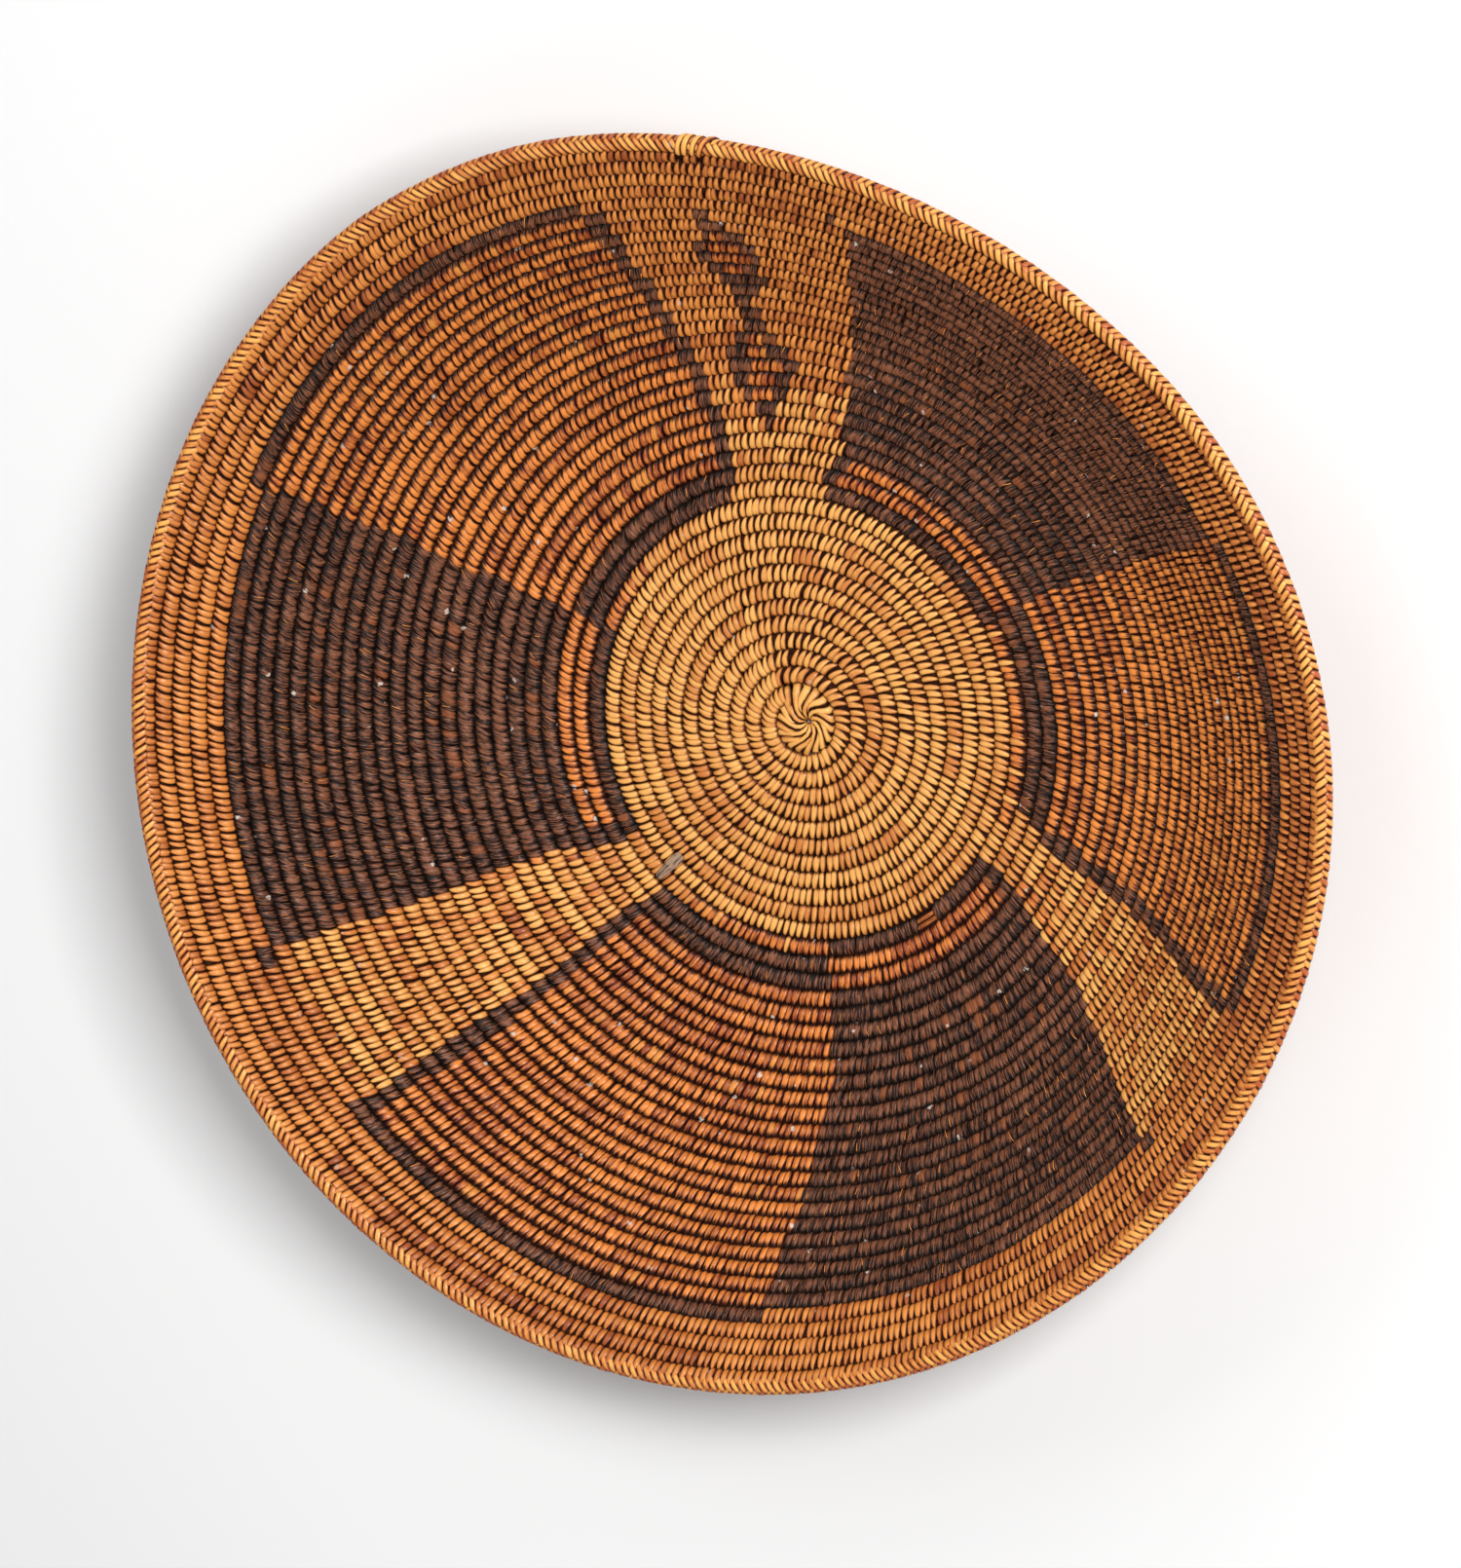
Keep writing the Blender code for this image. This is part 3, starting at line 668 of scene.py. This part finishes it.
def sew_round(number, finish_of, missing=None):
    """Stitches and bundle of one round of the coil."""
    sewing = Sewing()
    first, last = START_TURN + number - 1, START_TURN + number
    middle_radius = radius_at(0.5 * (first + last))
    count = round(FULL_TURN * middle_radius * (last - first) / STITCH_PITCH)
    place = np.arange(count) + 0.5 + PLACE_CHANCE * chance.standard_normal(count)
    turn = first + place * ((last - first) / count)
    if missing is not None:
        turn = turn[~missing(turn)]
    count = len(turn)

    def uneven():
        return chance.standard_normal((count, 1))

    finish = finish_of(turn)
    dark = (finish == DARK_SPLINT)[:, None]
    dyed = dark | (finish == ORANGE_SPLINT)[:, None]
    loose = 1.0 + DARK_UNEVEN * dark
    size = coil_size(turn)[:, None]
    radius = radius_at(turn)[:, None]
    lean = stitch_leans(turn)[:, None] * (1.0 + LEAN_CHANCE * loose * uneven())
    along, lift, lean_share, width_share, crown = STITCH_PATH.T[:, None]
    wall = np.interp(turn, [LAST_BASE_ROUND, LAST_BASE_ROUND + WALL_ROUNDS], [0.0, 1.0])[:, None]
    outer = (lift > STITCH_TOP) & (along > 0.0)
    inner = (lift > STITCH_TOP) & (along < STITCH_INNER)
    broader = (WALL_BROADER + DYED_BROADER * dyed) * wall
    width_share = width_share + (WALL_WIDTH - width_share) * broader * outer
    lift = lift - (WALL_LOWER + DYED_LOWER * dyed) * wall * inner
    face = 0.5 * COIL_PITCH * np.tan(lean) * size
    below = (lift < 0.0) * eased((-lift - BELOW_FROM) / BELOW_OVER)
    bend = STITCH_BEND * (1.0 + BEND_CHANCE * uneven()) * (lift > 0.0) * (1.0 - lean_share**2)
    back = np.sign(lean_share) * below * (0.5 * STITCH_PITCH - face)
    sweep = ((lean_share + bend) * face + back) / radius
    half = STITCH_HALF_WIDTH * width_share * (1.0 - THIN_WIDTH_SHARE + THIN_WIDTH_SHARE * size)
    half = half * (1.0 + DARK_WIDER * dark + WIDTH_CHANCE * loose * uneven())
    rise = 0.001 * crown * (1.0 + CROWN_CHANCE * loose * uneven())
    rise = rise * (1.0 - DARK_FLATTER * dark)
    swells = np.arange(0, count + SWELL_STITCHES, SWELL_STITCHES)
    swell = np.interp(np.arange(count), swells, chance.standard_normal(len(swells)))[:, None]
    bundle = 0.001 * size * (1.0 + TIGHT_CHANCE * loose * uneven() + SWELL_CHANCE * swell)
    caught = np.clip(uneven(), -CATCH_MOST, CATCH_MOST)
    reach = 1.0 + (along < CATCH_FROM) * CATCH_CHANCE * loose * caught
    line, angle = coil_line(turn), angle_at(turn)
    out, up = bundle * reach * along, bundle * lift
    rings, fibre = lay_strands(line, angle, out, up, sweep, half, rise)
    # Painted shade grows toward both ends of the stitch, where it goes down into the grooves
    # between rounds
    tuck_shade = np.minimum(np.abs(along - STITCH_MIDDLE) / STITCH_END, 1.0)
    sewing.add(rings, fibre, finish, splint_tones(turn, finish), tuck_shade)
    torn = (finish == DARK_SPLINT) & (chance.random(count) < FRAY_SHARE)
    if torn.any():
        lay_frays(sewing, turn[torn], face[torn] / radius[torn], radius[torn])
    stem_steps = count // STITCHES_PER_STEM_STEP + LEAST_STEM_STEPS
    stations = first + (last - first) * np.arange(stem_steps + 1) / stem_steps
    line, angle, size = coil_line(stations), angle_at(stations), coil_size(stations)[:, None]
    rings, fibre = lay_bundle(line, angle, 0.0, STEM_REACH * size, STEM_DEPTH * size)
    sewing.add(rings, fibre, STEM_BUNDLE, 0.0, 0.0, STEM_CELL_STEPS)
    return sewing


def natural_stitches(turn):
    return np.full(len(turn), NATURAL_SPLINT)


def upper_stitches(turn):
    return np.full(len(turn), UPPER_SPLINT)


for number in range(2, LAST_BASE_ROUND + 1):
    sewing = sew_round(number, natural_stitches)
    made = sewing.piece(f"stitched_round_{number:02d}", SPLINT_FINISHES)
    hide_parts(f"coil_round_{number:02d}")

# Patterned wall
# Three wings of dyed splint spread over the wall, each half orange-red and half near black,
# with a dark outline. A chain of small diamonds climbs the narrow gap beside the seam.
# Angles are degrees, counted on past 360 to the pattern's own break, and rows are turns there.
LAST_PATTERNED_ROUND = 36
BREAK_DEGREES, WHOLE_TURN_DEGREES = 98.5, 110.9
FIRST_ROW, LINE_ROWS, WING_ROWS, LAST_ROW = 13, (14, 15), (16, 35), 36
PATTERN_ROWS = [14.0, 16.0, 18.0, 20.0, 22.0, 24.0, 26.0, 28.0, 30.0, 32.0, 35.0]
WING_A = {
    "side": [105.5, 102.0, 101.5, 101.3, 101.3, 101.3, 101.3, 101.3, 101.3, 101.3, 101.3],
    "inside": [105.5, 105.0, 104.0, 103.6, 103.4, 103.4, 103.4, 103.4, 103.4, 103.4, 103.4],
    "half": [156.5, 156.0, 156.0, 155.7, 155.3, 154.8, 154.2, 153.6, 153.1, 152.8, 152.4],
    "end": [212.0, 209.5, 206.3, 205.6, 205.2, 205.0, 204.8, 204.5, 204.0, 203.5, 202.5],
}
WING_B = {
    "side": [227.5, 224.5, 224.5, 224.5, 224.1, 223.6, 223.1, 222.7, 222.4, 222.1, 221.5],
    "inside": [227.5, 227.5, 227.0, 226.7, 226.2, 225.7, 225.2, 224.8, 224.4, 223.9, 223.0],
    "half": [275.0, 274.5, 275.2, 275.5, 275.0, 274.2, 273.8, 273.5, 272.7, 272.2, 271.6],
    "end": [326.0, 325.5, 323.5, 322.5, 322.1, 322.0, 321.6, 321.3, 321.0, 321.0, 321.0],
}
WING_C = {
    "side": [341.0, 337.3, 337.0, 337.0, 337.0, 337.0, 336.8, 336.8, 336.8, 337.0, 337.0],
    "inside": [341.0, 340.5, 340.0, 339.7, 339.5, 339.4, 338.9, 338.8, 338.8, 338.7, 338.7],
    "half": [388.5, 388.3, 387.9, 387.2, 386.1, 385.9, 385.8, 385.8, 385.4, 385.0, 384.8],
    "end": [441.0, 437.3, 437.0, 436.5, 435.9, 435.5, 434.8, 434.3, 433.9, 433.5, 433.0],
}
WINGS = [WING_A, WING_B, WING_C]
FIRST_ROW_WINGS = [(134.0, 156.5, 212.5), (236.0, 275.5, 325.5), (338.0, 388.5, 441.0)]
FIRST_ROW_ORANGE_SHARE = 0.75
LAST_ROW_MARKS = [
    (103.0, 152.4), (202.0, 204.3), (221.0, 271.5), (321.0, 322.5), (338.3, 384.5), (434.0, 435.0),
]
# Beside the dark half of a wing the first wall rows keep a fringe of orange stitches
FRINGE_END_ROW, FRINGE_DEGREES, FRINGE_LOSS, FRINGE_SHARE = 22, 3.5, 0.5, 0.5
LINE_END_DEGREES = 4.0
# Natural splint gives way to the deeper one up the wall, and sooner beside the diamonds
UPPER_FROM, UPPER_OVER, UPPER_LEAST_SHARE = 33.0, 3.0, 0.25
GAP_FROM, GAP_OVER, GAP_START, GAP_END = 15.0, 6.0, 433.0, 105.5
# Rows of the diamonds: the two dark edges, with those of the orange heart between
DIAMONDS = {
    17: (450.9, 453.4), 18: (449.8, 454.2),
    19: (448.3, 450.8, 454.0, 455.5), 20: (447.0, 449.0, 453.7, 456.0),
    21: (445.2, 447.6, 452.9, 456.4), 22: (446.5, 449.7, 452.3, 455.8),
    23: (447.0, 449.5, 451.0, 454.0),
    24: (448.3, 451.5), 25: (448.8, 451.3), 26: (448.8, 451.3), 27: (447.3, 451.5),
    28: (445.8, 451.5),
    29: (446.0, 447.7, 451.0, 452.4), 30: (445.0, 446.5, 451.6, 453.1),
    31: (445.6, 447.4, 450.9, 452.6), 32: (445.9, 448.3, 449.9, 451.4),
    33: (447.6, 450.8), 34: (449.0, 450.6),
}


def pattern_stitches(turn):
    """Finish of each stitch of the wall, by its row and its angle."""
    shifted = turn + (WHOLE_TURN_DEGREES - BREAK_DEGREES) / 360.0
    row = np.floor(shifted)
    angle = BREAK_DEGREES + 360.0 * (shifted - row)

    def within(start, end):
        return (angle >= start) & (angle < end)

    finish = np.full(len(turn), NATURAL_SPLINT)
    mixed = chance.random(len(turn))
    gap = (angle > GAP_START) | (angle < GAP_END)
    deeper = np.maximum((row - UPPER_FROM) / UPPER_OVER, (row - GAP_FROM) / GAP_OVER * gap)
    finish[mixed < np.maximum(deeper, UPPER_LEAST_SHARE * (row > WING_ROWS[0]))] = UPPER_SPLINT
    wall = (row >= WING_ROWS[0]) & (row <= WING_ROWS[1])
    lines = (row >= LINE_ROWS[0]) & (row <= LINE_ROWS[1])
    for wing in WINGS:
        side, inside, half, end = [
            np.interp(row, PATTERN_ROWS, wing[part]) for part in ("side", "inside", "half", "end")
        ]
        finish[wall & within(side, half)] = ORANGE_SPLINT
        finish[wall & within(side, inside)] = DARK_SPLINT
        finish[wall & within(half, end)] = DARK_SPLINT
        reach = FRINGE_DEGREES - FRINGE_LOSS * (row - WING_ROWS[0] - 1)
        fringe = wall & (row < FRINGE_END_ROW) & within(end, end + reach)
        finish[fringe & (mixed < FRINGE_SHARE)] = ORANGE_SPLINT
        line_end = end - LINE_END_DEGREES
        finish[lines & within(side, half)] = DARK_SPLINT
        finish[lines & within(half, line_end)] = ORANGE_SPLINT
        finish[lines & within(line_end, end)] = DARK_SPLINT
    first = row == FIRST_ROW
    for start, half, end in FIRST_ROW_WINGS:
        orange = first & within(start, half)
        finish[orange & (mixed < FIRST_ROW_ORANGE_SHARE)] = ORANGE_SPLINT
        finish[first & within(half, end)] = DARK_SPLINT
    for start, end in LAST_ROW_MARKS:
        finish[(row == LAST_ROW) & within(start, end)] = DARK_SPLINT
    for height, edges in DIAMONDS.items():
        finish[(row == height) & within(edges[0], edges[-1])] = DARK_SPLINT
        finish[(row == height) & within(edges[1], edges[-2])] = ORANGE_SPLINT
    return finish


WORN_ROUND, WORN_FROM, WORN_TO = 13, math.radians(301.0), math.radians(305.6)
WORN_OVERLAP, WORN_STEPS = 0.02, 9
WORN_STEMS = [(-0.0010, 0.00166), (0.0008, 0.00170)]
WORN_STEM_REACH, WORN_STEM_DEPTH, WORN_STEM_POINTS = 0.0007, 0.00055, 8
# The bare stems take painted shade, as tucked ends do, where they lie down in the worn place
WORN_STEM_TONE, WORN_STEM_SHADE = 0.82, 0.78


def worn_away(turn):
    """Stitches that broke away, where the stems in the coil show."""
    angle = angle_at(turn) % FULL_TURN
    return (angle > WORN_FROM) & (angle < WORN_TO)


def lay_worn_stems(sewing):
    """The two pale stems that lie bare at the worn place."""
    angle = np.linspace(WORN_FROM - WORN_OVERLAP, WORN_TO + WORN_OVERLAP, WORN_STEPS)
    turn = START_TURN + WORN_ROUND - 1 + (angle - SEAM_ANGLE) / FULL_TURN
    for middle, height in WORN_STEMS:
        rings, fibre = lay_bundle(
            turn, angle, middle, WORN_STEM_REACH, WORN_STEM_DEPTH, WORN_STEM_POINTS, height
        )
        sewing.add(rings, fibre, UPPER_SPLINT, WORN_STEM_TONE, WORN_STEM_SHADE)


for number in range(LAST_BASE_ROUND + 1, LAST_PATTERNED_ROUND + 1):
    worn = number == WORN_ROUND
    sewing = sew_round(number, pattern_stitches, worn_away if worn else None)
    if worn:
        lay_worn_stems(sewing)
    made = sewing.piece(f"stitched_round_{number:02d}", SPLINT_FINISHES)
    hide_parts(f"coil_round_{number:02d}")

# Upper wall
# The last rounds are natural splint again, up to the thinned end of the coil under the rim.
# Two stitches under the rim's end knot have broken away.
BROKEN_ROUND = ROUND_COUNT - 1
BROKEN_STITCHES = np.radians([87.2, 89.1])
BROKEN_REACH = math.radians(0.36)


def broken_away(turn):
    angle = (angle_at(turn) % FULL_TURN)[:, None]
    return (np.abs(angle - BROKEN_STITCHES) < BROKEN_REACH).any(axis=1)


for number in range(LAST_PATTERNED_ROUND + 1, ROUND_COUNT + 1):
    missing = broken_away if number == BROKEN_ROUND else None
    sewing = sew_round(number, upper_stitches, missing)
    made = sewing.piece(f"stitched_round_{number:02d}", SPLINT_FINISHES)
    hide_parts(f"coil_round_{number:02d}")

# Rim braid
# A single strand of natural splint runs forward and back over the last round in false braid.
# Its inner legs show as a bright ear of short ovals, and its outer legs go down behind.
BRAID_PITCH, BRAID_CENTRE = 0.0025, -0.0025
BRAID_REACH, BRAID_DEPTH = 0.0036, 0.0023
LEG_HALF_WIDTH, LEG_RISE = 0.00104, 0.00042
LEG_SWEEP_CHANCE, LEG_WIDTH_CHANCE, LEG_RISE_CHANCE = 0.06, 0.06, 0.1
LEG_STEPS = 9
LEG_BELLY_ENDS, LEG_BELLY_POWER = 0.08, 0.7
# Shares of a leg's width, rise and sink: at its ends, and added by its belly
LEG_WIDTHS, LEG_RISES, LEG_SINKS = (0.84, 0.2), (0.5, 0.6), (0.5, -0.7)
# Inner and outer leg: start and span in degrees round the bundle, start and span in pitches
# ahead, how much lower it is, and how much painted shade deepens it where it goes down behind
BRAID_LEGS = [(14.0, 84.0, 0.75, -1.3, 0.0, 0.0), (-84.0, 120.0, -0.2, 1.35, 0.2, 0.2)]
BRAID_TONES, BRAID_LEAST_TONE, BRAID_MOST_TONE = 0.8, 0.15, 0.82
BRAID_SHADE, BRAID_PALE_SIDE = 0.15, 0.8
BRAID_LENGTH_TURN = 41.0
RIM_STEP_SHARE = 0.06
RIM_BUNDLE_STEPS, RIM_BUNDLE_POINTS, RIM_BUNDLE_SPARE = 181, 12, 0.0002
KNOT_ANGLE = math.radians(88.0)
# The last colour is the edge colour of the braid's painted shade
BRAID = splint_finish(
    "rim_splint", colour(252, 180, 90), colour(196, 102, 42), colour(184, 88, 40),
    colour(70, 24, 10), grain=0.35, dull=0.34, gloss=0.4, border=(0.44, 0.9), ends=(0.6, 1.15),
    specks=0.2,
)
RIM_FINISHES = [BRAID, ORANGE, DARK, STEMS]


def outer_edge(turn):
    """Turn of the coil's outer edge, where the coil itself is at this turn."""
    return coil_line(turn) + 0.5 * coil_size(turn) * COIL_FILL


def rim_edge(share):
    """Turn of the last round's outer edge, with an even step down past the coil's tip."""
    held = share % 1.0
    last = START_TURN + ROUND_COUNT - 1
    drop = outer_edge(last + 1.0) - outer_edge(last)
    return outer_edge(last + held) + drop * (1.0 - eased(held / RIM_STEP_SHARE))


def lay_legs(shares, phi, ahead, half_width, rise, sink):
    """Legs of the braid at these shares of the rim, each from phi's first value to its last."""
    turn = rim_edge(shares)
    radius = radius_at(turn)[:, None]
    chances = chance.standard_normal((3, len(shares), 1))
    sweep = ahead * BRAID_PITCH / radius * (1.0 + LEG_SWEEP_CHANCE * chances[0])
    width = half_width * LEG_HALF_WIDTH * (1.0 + LEG_WIDTH_CHANCE * chances[1])
    high = rise * LEG_RISE * (1.0 + LEG_RISE_CHANCE * chances[2])
    phi = np.radians(phi)
    along = BRAID_CENTRE + (BRAID_REACH - sink * LEG_RISE) * np.cos(phi)
    lift = (BRAID_DEPTH - sink * LEG_RISE) * np.sin(phi)
    return lay_strands(turn, SEAM_ANGLE + FULL_TURN * shares, along, lift, sweep, width, high)


def make_braid():
    length = FULL_TURN * radius_at(BRAID_LENGTH_TURN)
    count = round(length / BRAID_PITCH)
    knot = (KNOT_ANGLE - SEAM_ANGLE) / FULL_TURN % 1.0
    shares = knot + (np.arange(count) + 0.5) / count
    angle = SEAM_ANGLE + FULL_TURN * shares
    braid = Sewing()
    steps = np.linspace(0.0, 1.0, LEG_STEPS)
    belly = LEG_BELLY_ENDS + (1.0 - 2.0 * LEG_BELLY_ENDS) * steps
    belly = np.sin(np.pi * belly) ** LEG_BELLY_POWER
    width, rise, sink = [
        ends + swell * belly for ends, swell in (LEG_WIDTHS, LEG_RISES, LEG_SINKS)
    ]
    # Painted shade toward both ends of each leg, where it goes under
    tuck_shade = np.abs(steps - 0.5) * 2.0
    tone = BRAID_TONES * chance.random(count) + BRAID_LEAST_TONE
    tone = np.minimum(tone - BRAID_SHADE * np.cos(angle - BRAID_PALE_SIDE), BRAID_MOST_TONE)
    for start, span, ahead, stride, lower, duller in BRAID_LEGS:
        phi, forward = start + span * steps, ahead + stride * steps
        rings, fibre = lay_legs(shares, phi, forward, width, rise, sink + lower)
        # The outer leg's tone is deepened by its painted shade
        braid.add(rings, fibre, NATURAL_SPLINT, tone + duller, tuck_shade)
    ring = np.linspace(0.0, 1.0, RIM_BUNDLE_STEPS)
    reach, depth = BRAID_REACH - RIM_BUNDLE_SPARE, BRAID_DEPTH - RIM_BUNDLE_SPARE
    rings, fibre = lay_bundle(
        rim_edge(ring), SEAM_ANGLE + FULL_TURN * ring, BRAID_CENTRE, reach, depth, RIM_BUNDLE_POINTS
    )
    braid.add(rings, fibre, STEM_BUNDLE, 0.0, 0.0, STEM_CELL_STEPS)
    made = braid.piece("false_braid", RIM_FINISHES)
    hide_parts("rim_braid")


make_braid()

# End knot
# Where the braid closes, the strand's end is wrapped four times over the rim, side by side.
# The wraps lean a little, and the last one is the duller end that slips away under the braid.
KNOT_FEET = np.radians([89.0, 88.35, 87.6, 86.95])
KNOT_LEAN = np.array([1.3, 1.1, 1.5, 2.4])
KNOT_TONES = np.array([0.0, 0.1, 0.15, 0.7])
KNOT_STEPS, KNOT_FROM, KNOT_SPAN = 15, -60.0, 172.0
KNOT_FLATTENING, KNOT_LEAN_POWER, KNOT_TUCKED = 3.0, 1.5, 1.6
KNOT_WIDTHS, KNOT_RISES, KNOT_SINKS = (0.55, 0.45), (0.5, 0.9), (0.4, -1.6)


def make_knot():
    shares = (KNOT_FEET - SEAM_ANGLE) / FULL_TURN % 1.0
    wraps = Sewing()
    steps = np.linspace(0.0, 1.0, KNOT_STEPS)
    flat = np.clip(np.sin(np.pi * steps) * KNOT_FLATTENING, 0.0, 1.0)
    ahead = -KNOT_LEAN[:, None] * (1.0 - steps) ** KNOT_LEAN_POWER
    width, rise, sink = [
        ends + swell * flat for ends, swell in (KNOT_WIDTHS, KNOT_RISES, KNOT_SINKS)
    ]
    rings, fibre = lay_legs(shares, KNOT_FROM + KNOT_SPAN * steps, ahead, width, rise, sink)
    # Painted shade toward both ends of each wrap, where it goes round under the rim
    tuck_shade = np.abs(steps - 0.5) * KNOT_TUCKED
    wraps.add(rings, fibre, NATURAL_SPLINT, KNOT_TONES, tuck_shade)
    made = wraps.piece("end_knot", RIM_FINISHES)
    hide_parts("rim_end_knot")


make_knot()

# Splice tail
# A strand that ran out was cut off long, and its weathered end lies across two rounds.
TAIL_TURN, TAIL_ANGLE = 12.48, math.radians(225.4)
TAIL_LENGTH, TAIL_WIDTH, TAIL_THICKNESS = 0.0114, 0.0040, 0.0006
TAIL_LEAN, TAIL_LIFT, TAIL_BEND, TAIL_BEND_SPAN = -0.05, 0.00290, 0.0003, 2.2
TAIL_STEPS, TAIL_TONE = 13, 0.5
TAIL_MIDDLE_WIDTH, TAIL_NARROWING = 0.86, 0.2
TAIL_ROUNDING, TAIL_ROUNDING_POWER, TAIL_LEAST_END = 0.35, 7, 0.3
TAIL_ACROSS = np.array([-1.0, -0.8, 0.0, 0.8, 1.0, 0.8, 0.0, -0.8])
TAIL_UP = np.array([0.5, 0.95, 1.0, 0.95, 0.5, 0.05, 0.0, 0.05])
TAIL = splint_finish(
    "weathered_splint", colour(164, 136, 114), colour(72, 52, 40), colour(120, 96, 70),
    colour(54, 36, 26), grain=1.3, dull=0.6, gloss=0.0, border=(0.8, 1.1), ragged=0.3, specks=0.0,
)


def make_tail():
    steps = np.linspace(1.0, -1.0, TAIL_STEPS)[:, None]
    lost = TAIL_ROUNDING * np.abs(steps) ** TAIL_ROUNDING_POWER
    rounded = np.clip(1.0 - lost, TAIL_LEAST_END, 1.0)
    half = 0.5 * TAIL_WIDTH * (TAIL_MIDDLE_WIDTH - TAIL_NARROWING * steps) * rounded
    across = TAIL_ACROSS * half
    lift = TAIL_LIFT + TAIL_UP * TAIL_THICKNESS + TAIL_BEND * np.cos(steps * TAIL_BEND_SPAN)
    along = 0.5 * TAIL_LENGTH * steps + 0.0 * across
    radius = radius_at(TAIL_TURN)
    angle = TAIL_ANGLE + (across + TAIL_LEAN * along) / radius
    rings = wall_points(np.full(across.shape, TAIL_TURN), angle, along, lift)
    fibre = np.stack([along * 1000.0, across / half, 0.0 * across], -1)
    tail = Sewing()
    tail.add(rings[None], fibre[None], 0, TAIL_TONE, 0.0)
    made = tail.piece("splice_end", [TAIL])
    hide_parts("splice_tail")


make_tail()

# Studio
# A pale floor, a broad soft light and a dim fill, and the camera high over the bowl.
FLOOR_SIZE, FLOOR_COLOUR, FLOOR_ROUGHNESS = 6.0, (0.92, 0.92, 0.92, 1.0), 0.9
CAMERA_TILT, CAMERA_ROLL = math.radians(27.47), math.radians(26.64)
CAMERA_DISTANCE = 1.957
CAMERA_RIGHT, CAMERA_UP = -0.02313, -0.01952
FOCAL_PIXELS, PICTURE_HEIGHT = 6371.0, 1610.0
SENSOR_HEIGHT = 36.0
SKY_COLOUR, SKY_STRENGTH = (1.0, 1.0, 1.0, 1.0), 0.2

tilted = Vector((math.cos(CAMERA_ROLL), math.sin(CAMERA_ROLL), 0.0))
level = Vector((-math.sin(CAMERA_ROLL), math.cos(CAMERA_ROLL), 0.0))
upward = Vector((0.0, 0.0, 1.0))
edgeways = tilted * math.cos(CAMERA_TILT) - upward * math.sin(CAMERA_TILT)
back = tilted * math.sin(CAMERA_TILT) + upward * math.cos(CAMERA_TILT)
right = edgeways * math.cos(CAMERA_ROLL) - level * math.sin(CAMERA_ROLL)
up = edgeways * math.sin(CAMERA_ROLL) + level * math.cos(CAMERA_ROLL)
place = back * CAMERA_DISTANCE + right * CAMERA_RIGHT + up * CAMERA_UP + upward * COIL_MIDDLE
lens = bpy.data.cameras.new("camera")
lens.sensor_fit = "VERTICAL"
lens.sensor_height = SENSOR_HEIGHT
lens.lens = FOCAL_PIXELS / PICTURE_HEIGHT * SENSOR_HEIGHT
camera = put_in_scene("camera", lens)
camera.matrix_world = Matrix.Translation(place) @ Matrix((right, up, back)).transposed().to_4x4()
bpy.context.scene.camera = camera

floor_mesh = bpy.data.meshes.new("floor")
low, high = -0.5 * FLOOR_SIZE, 0.5 * FLOOR_SIZE
floor_corners = [(low, low, 0), (high, low, 0), (high, high, 0), (low, high, 0)]
floor_mesh.from_pydata(floor_corners, [], [(0, 1, 2, 3)])
floor = put_in_scene("floor", floor_mesh)
paper = Finish("floor_paper")
paper.surface("Base Color", FLOOR_COLOUR)
paper.surface("Roughness", FLOOR_ROUGHNESS)
floor_mesh.materials.append(paper.material)


def hang_light(name, size, power, toward):
    """Square soft light that faces the tray from a point given in the camera's own axes."""
    lamp = bpy.data.lights.new(name, "AREA")
    lamp.size = size
    lamp.energy = power
    hung = put_in_scene(name, lamp)
    spot = right * toward[0] + up * toward[1] + back * toward[2]
    hung.location = spot
    hung.rotation_euler = spot.to_track_quat("Z", "Y").to_euler()


hang_light("key_light", 0.5, 33.0, (0.28, 0.12, 1.9))
hang_light("fill_light", 1.2, 7.5, (-1.0, 0.8, 1.2))
hang_light("low_light", 1.2, 4.5, (-0.7, -1.2, 1.2))
bpy.context.scene.view_settings.view_transform = "Standard"
world = bpy.data.worlds.new("studio")
bpy.context.scene.world = world
world.use_nodes = True
sky = world.node_tree.nodes["Background"]
sky.inputs["Color"].default_value = SKY_COLOUR
sky.inputs["Strength"].default_value = SKY_STRENGTH
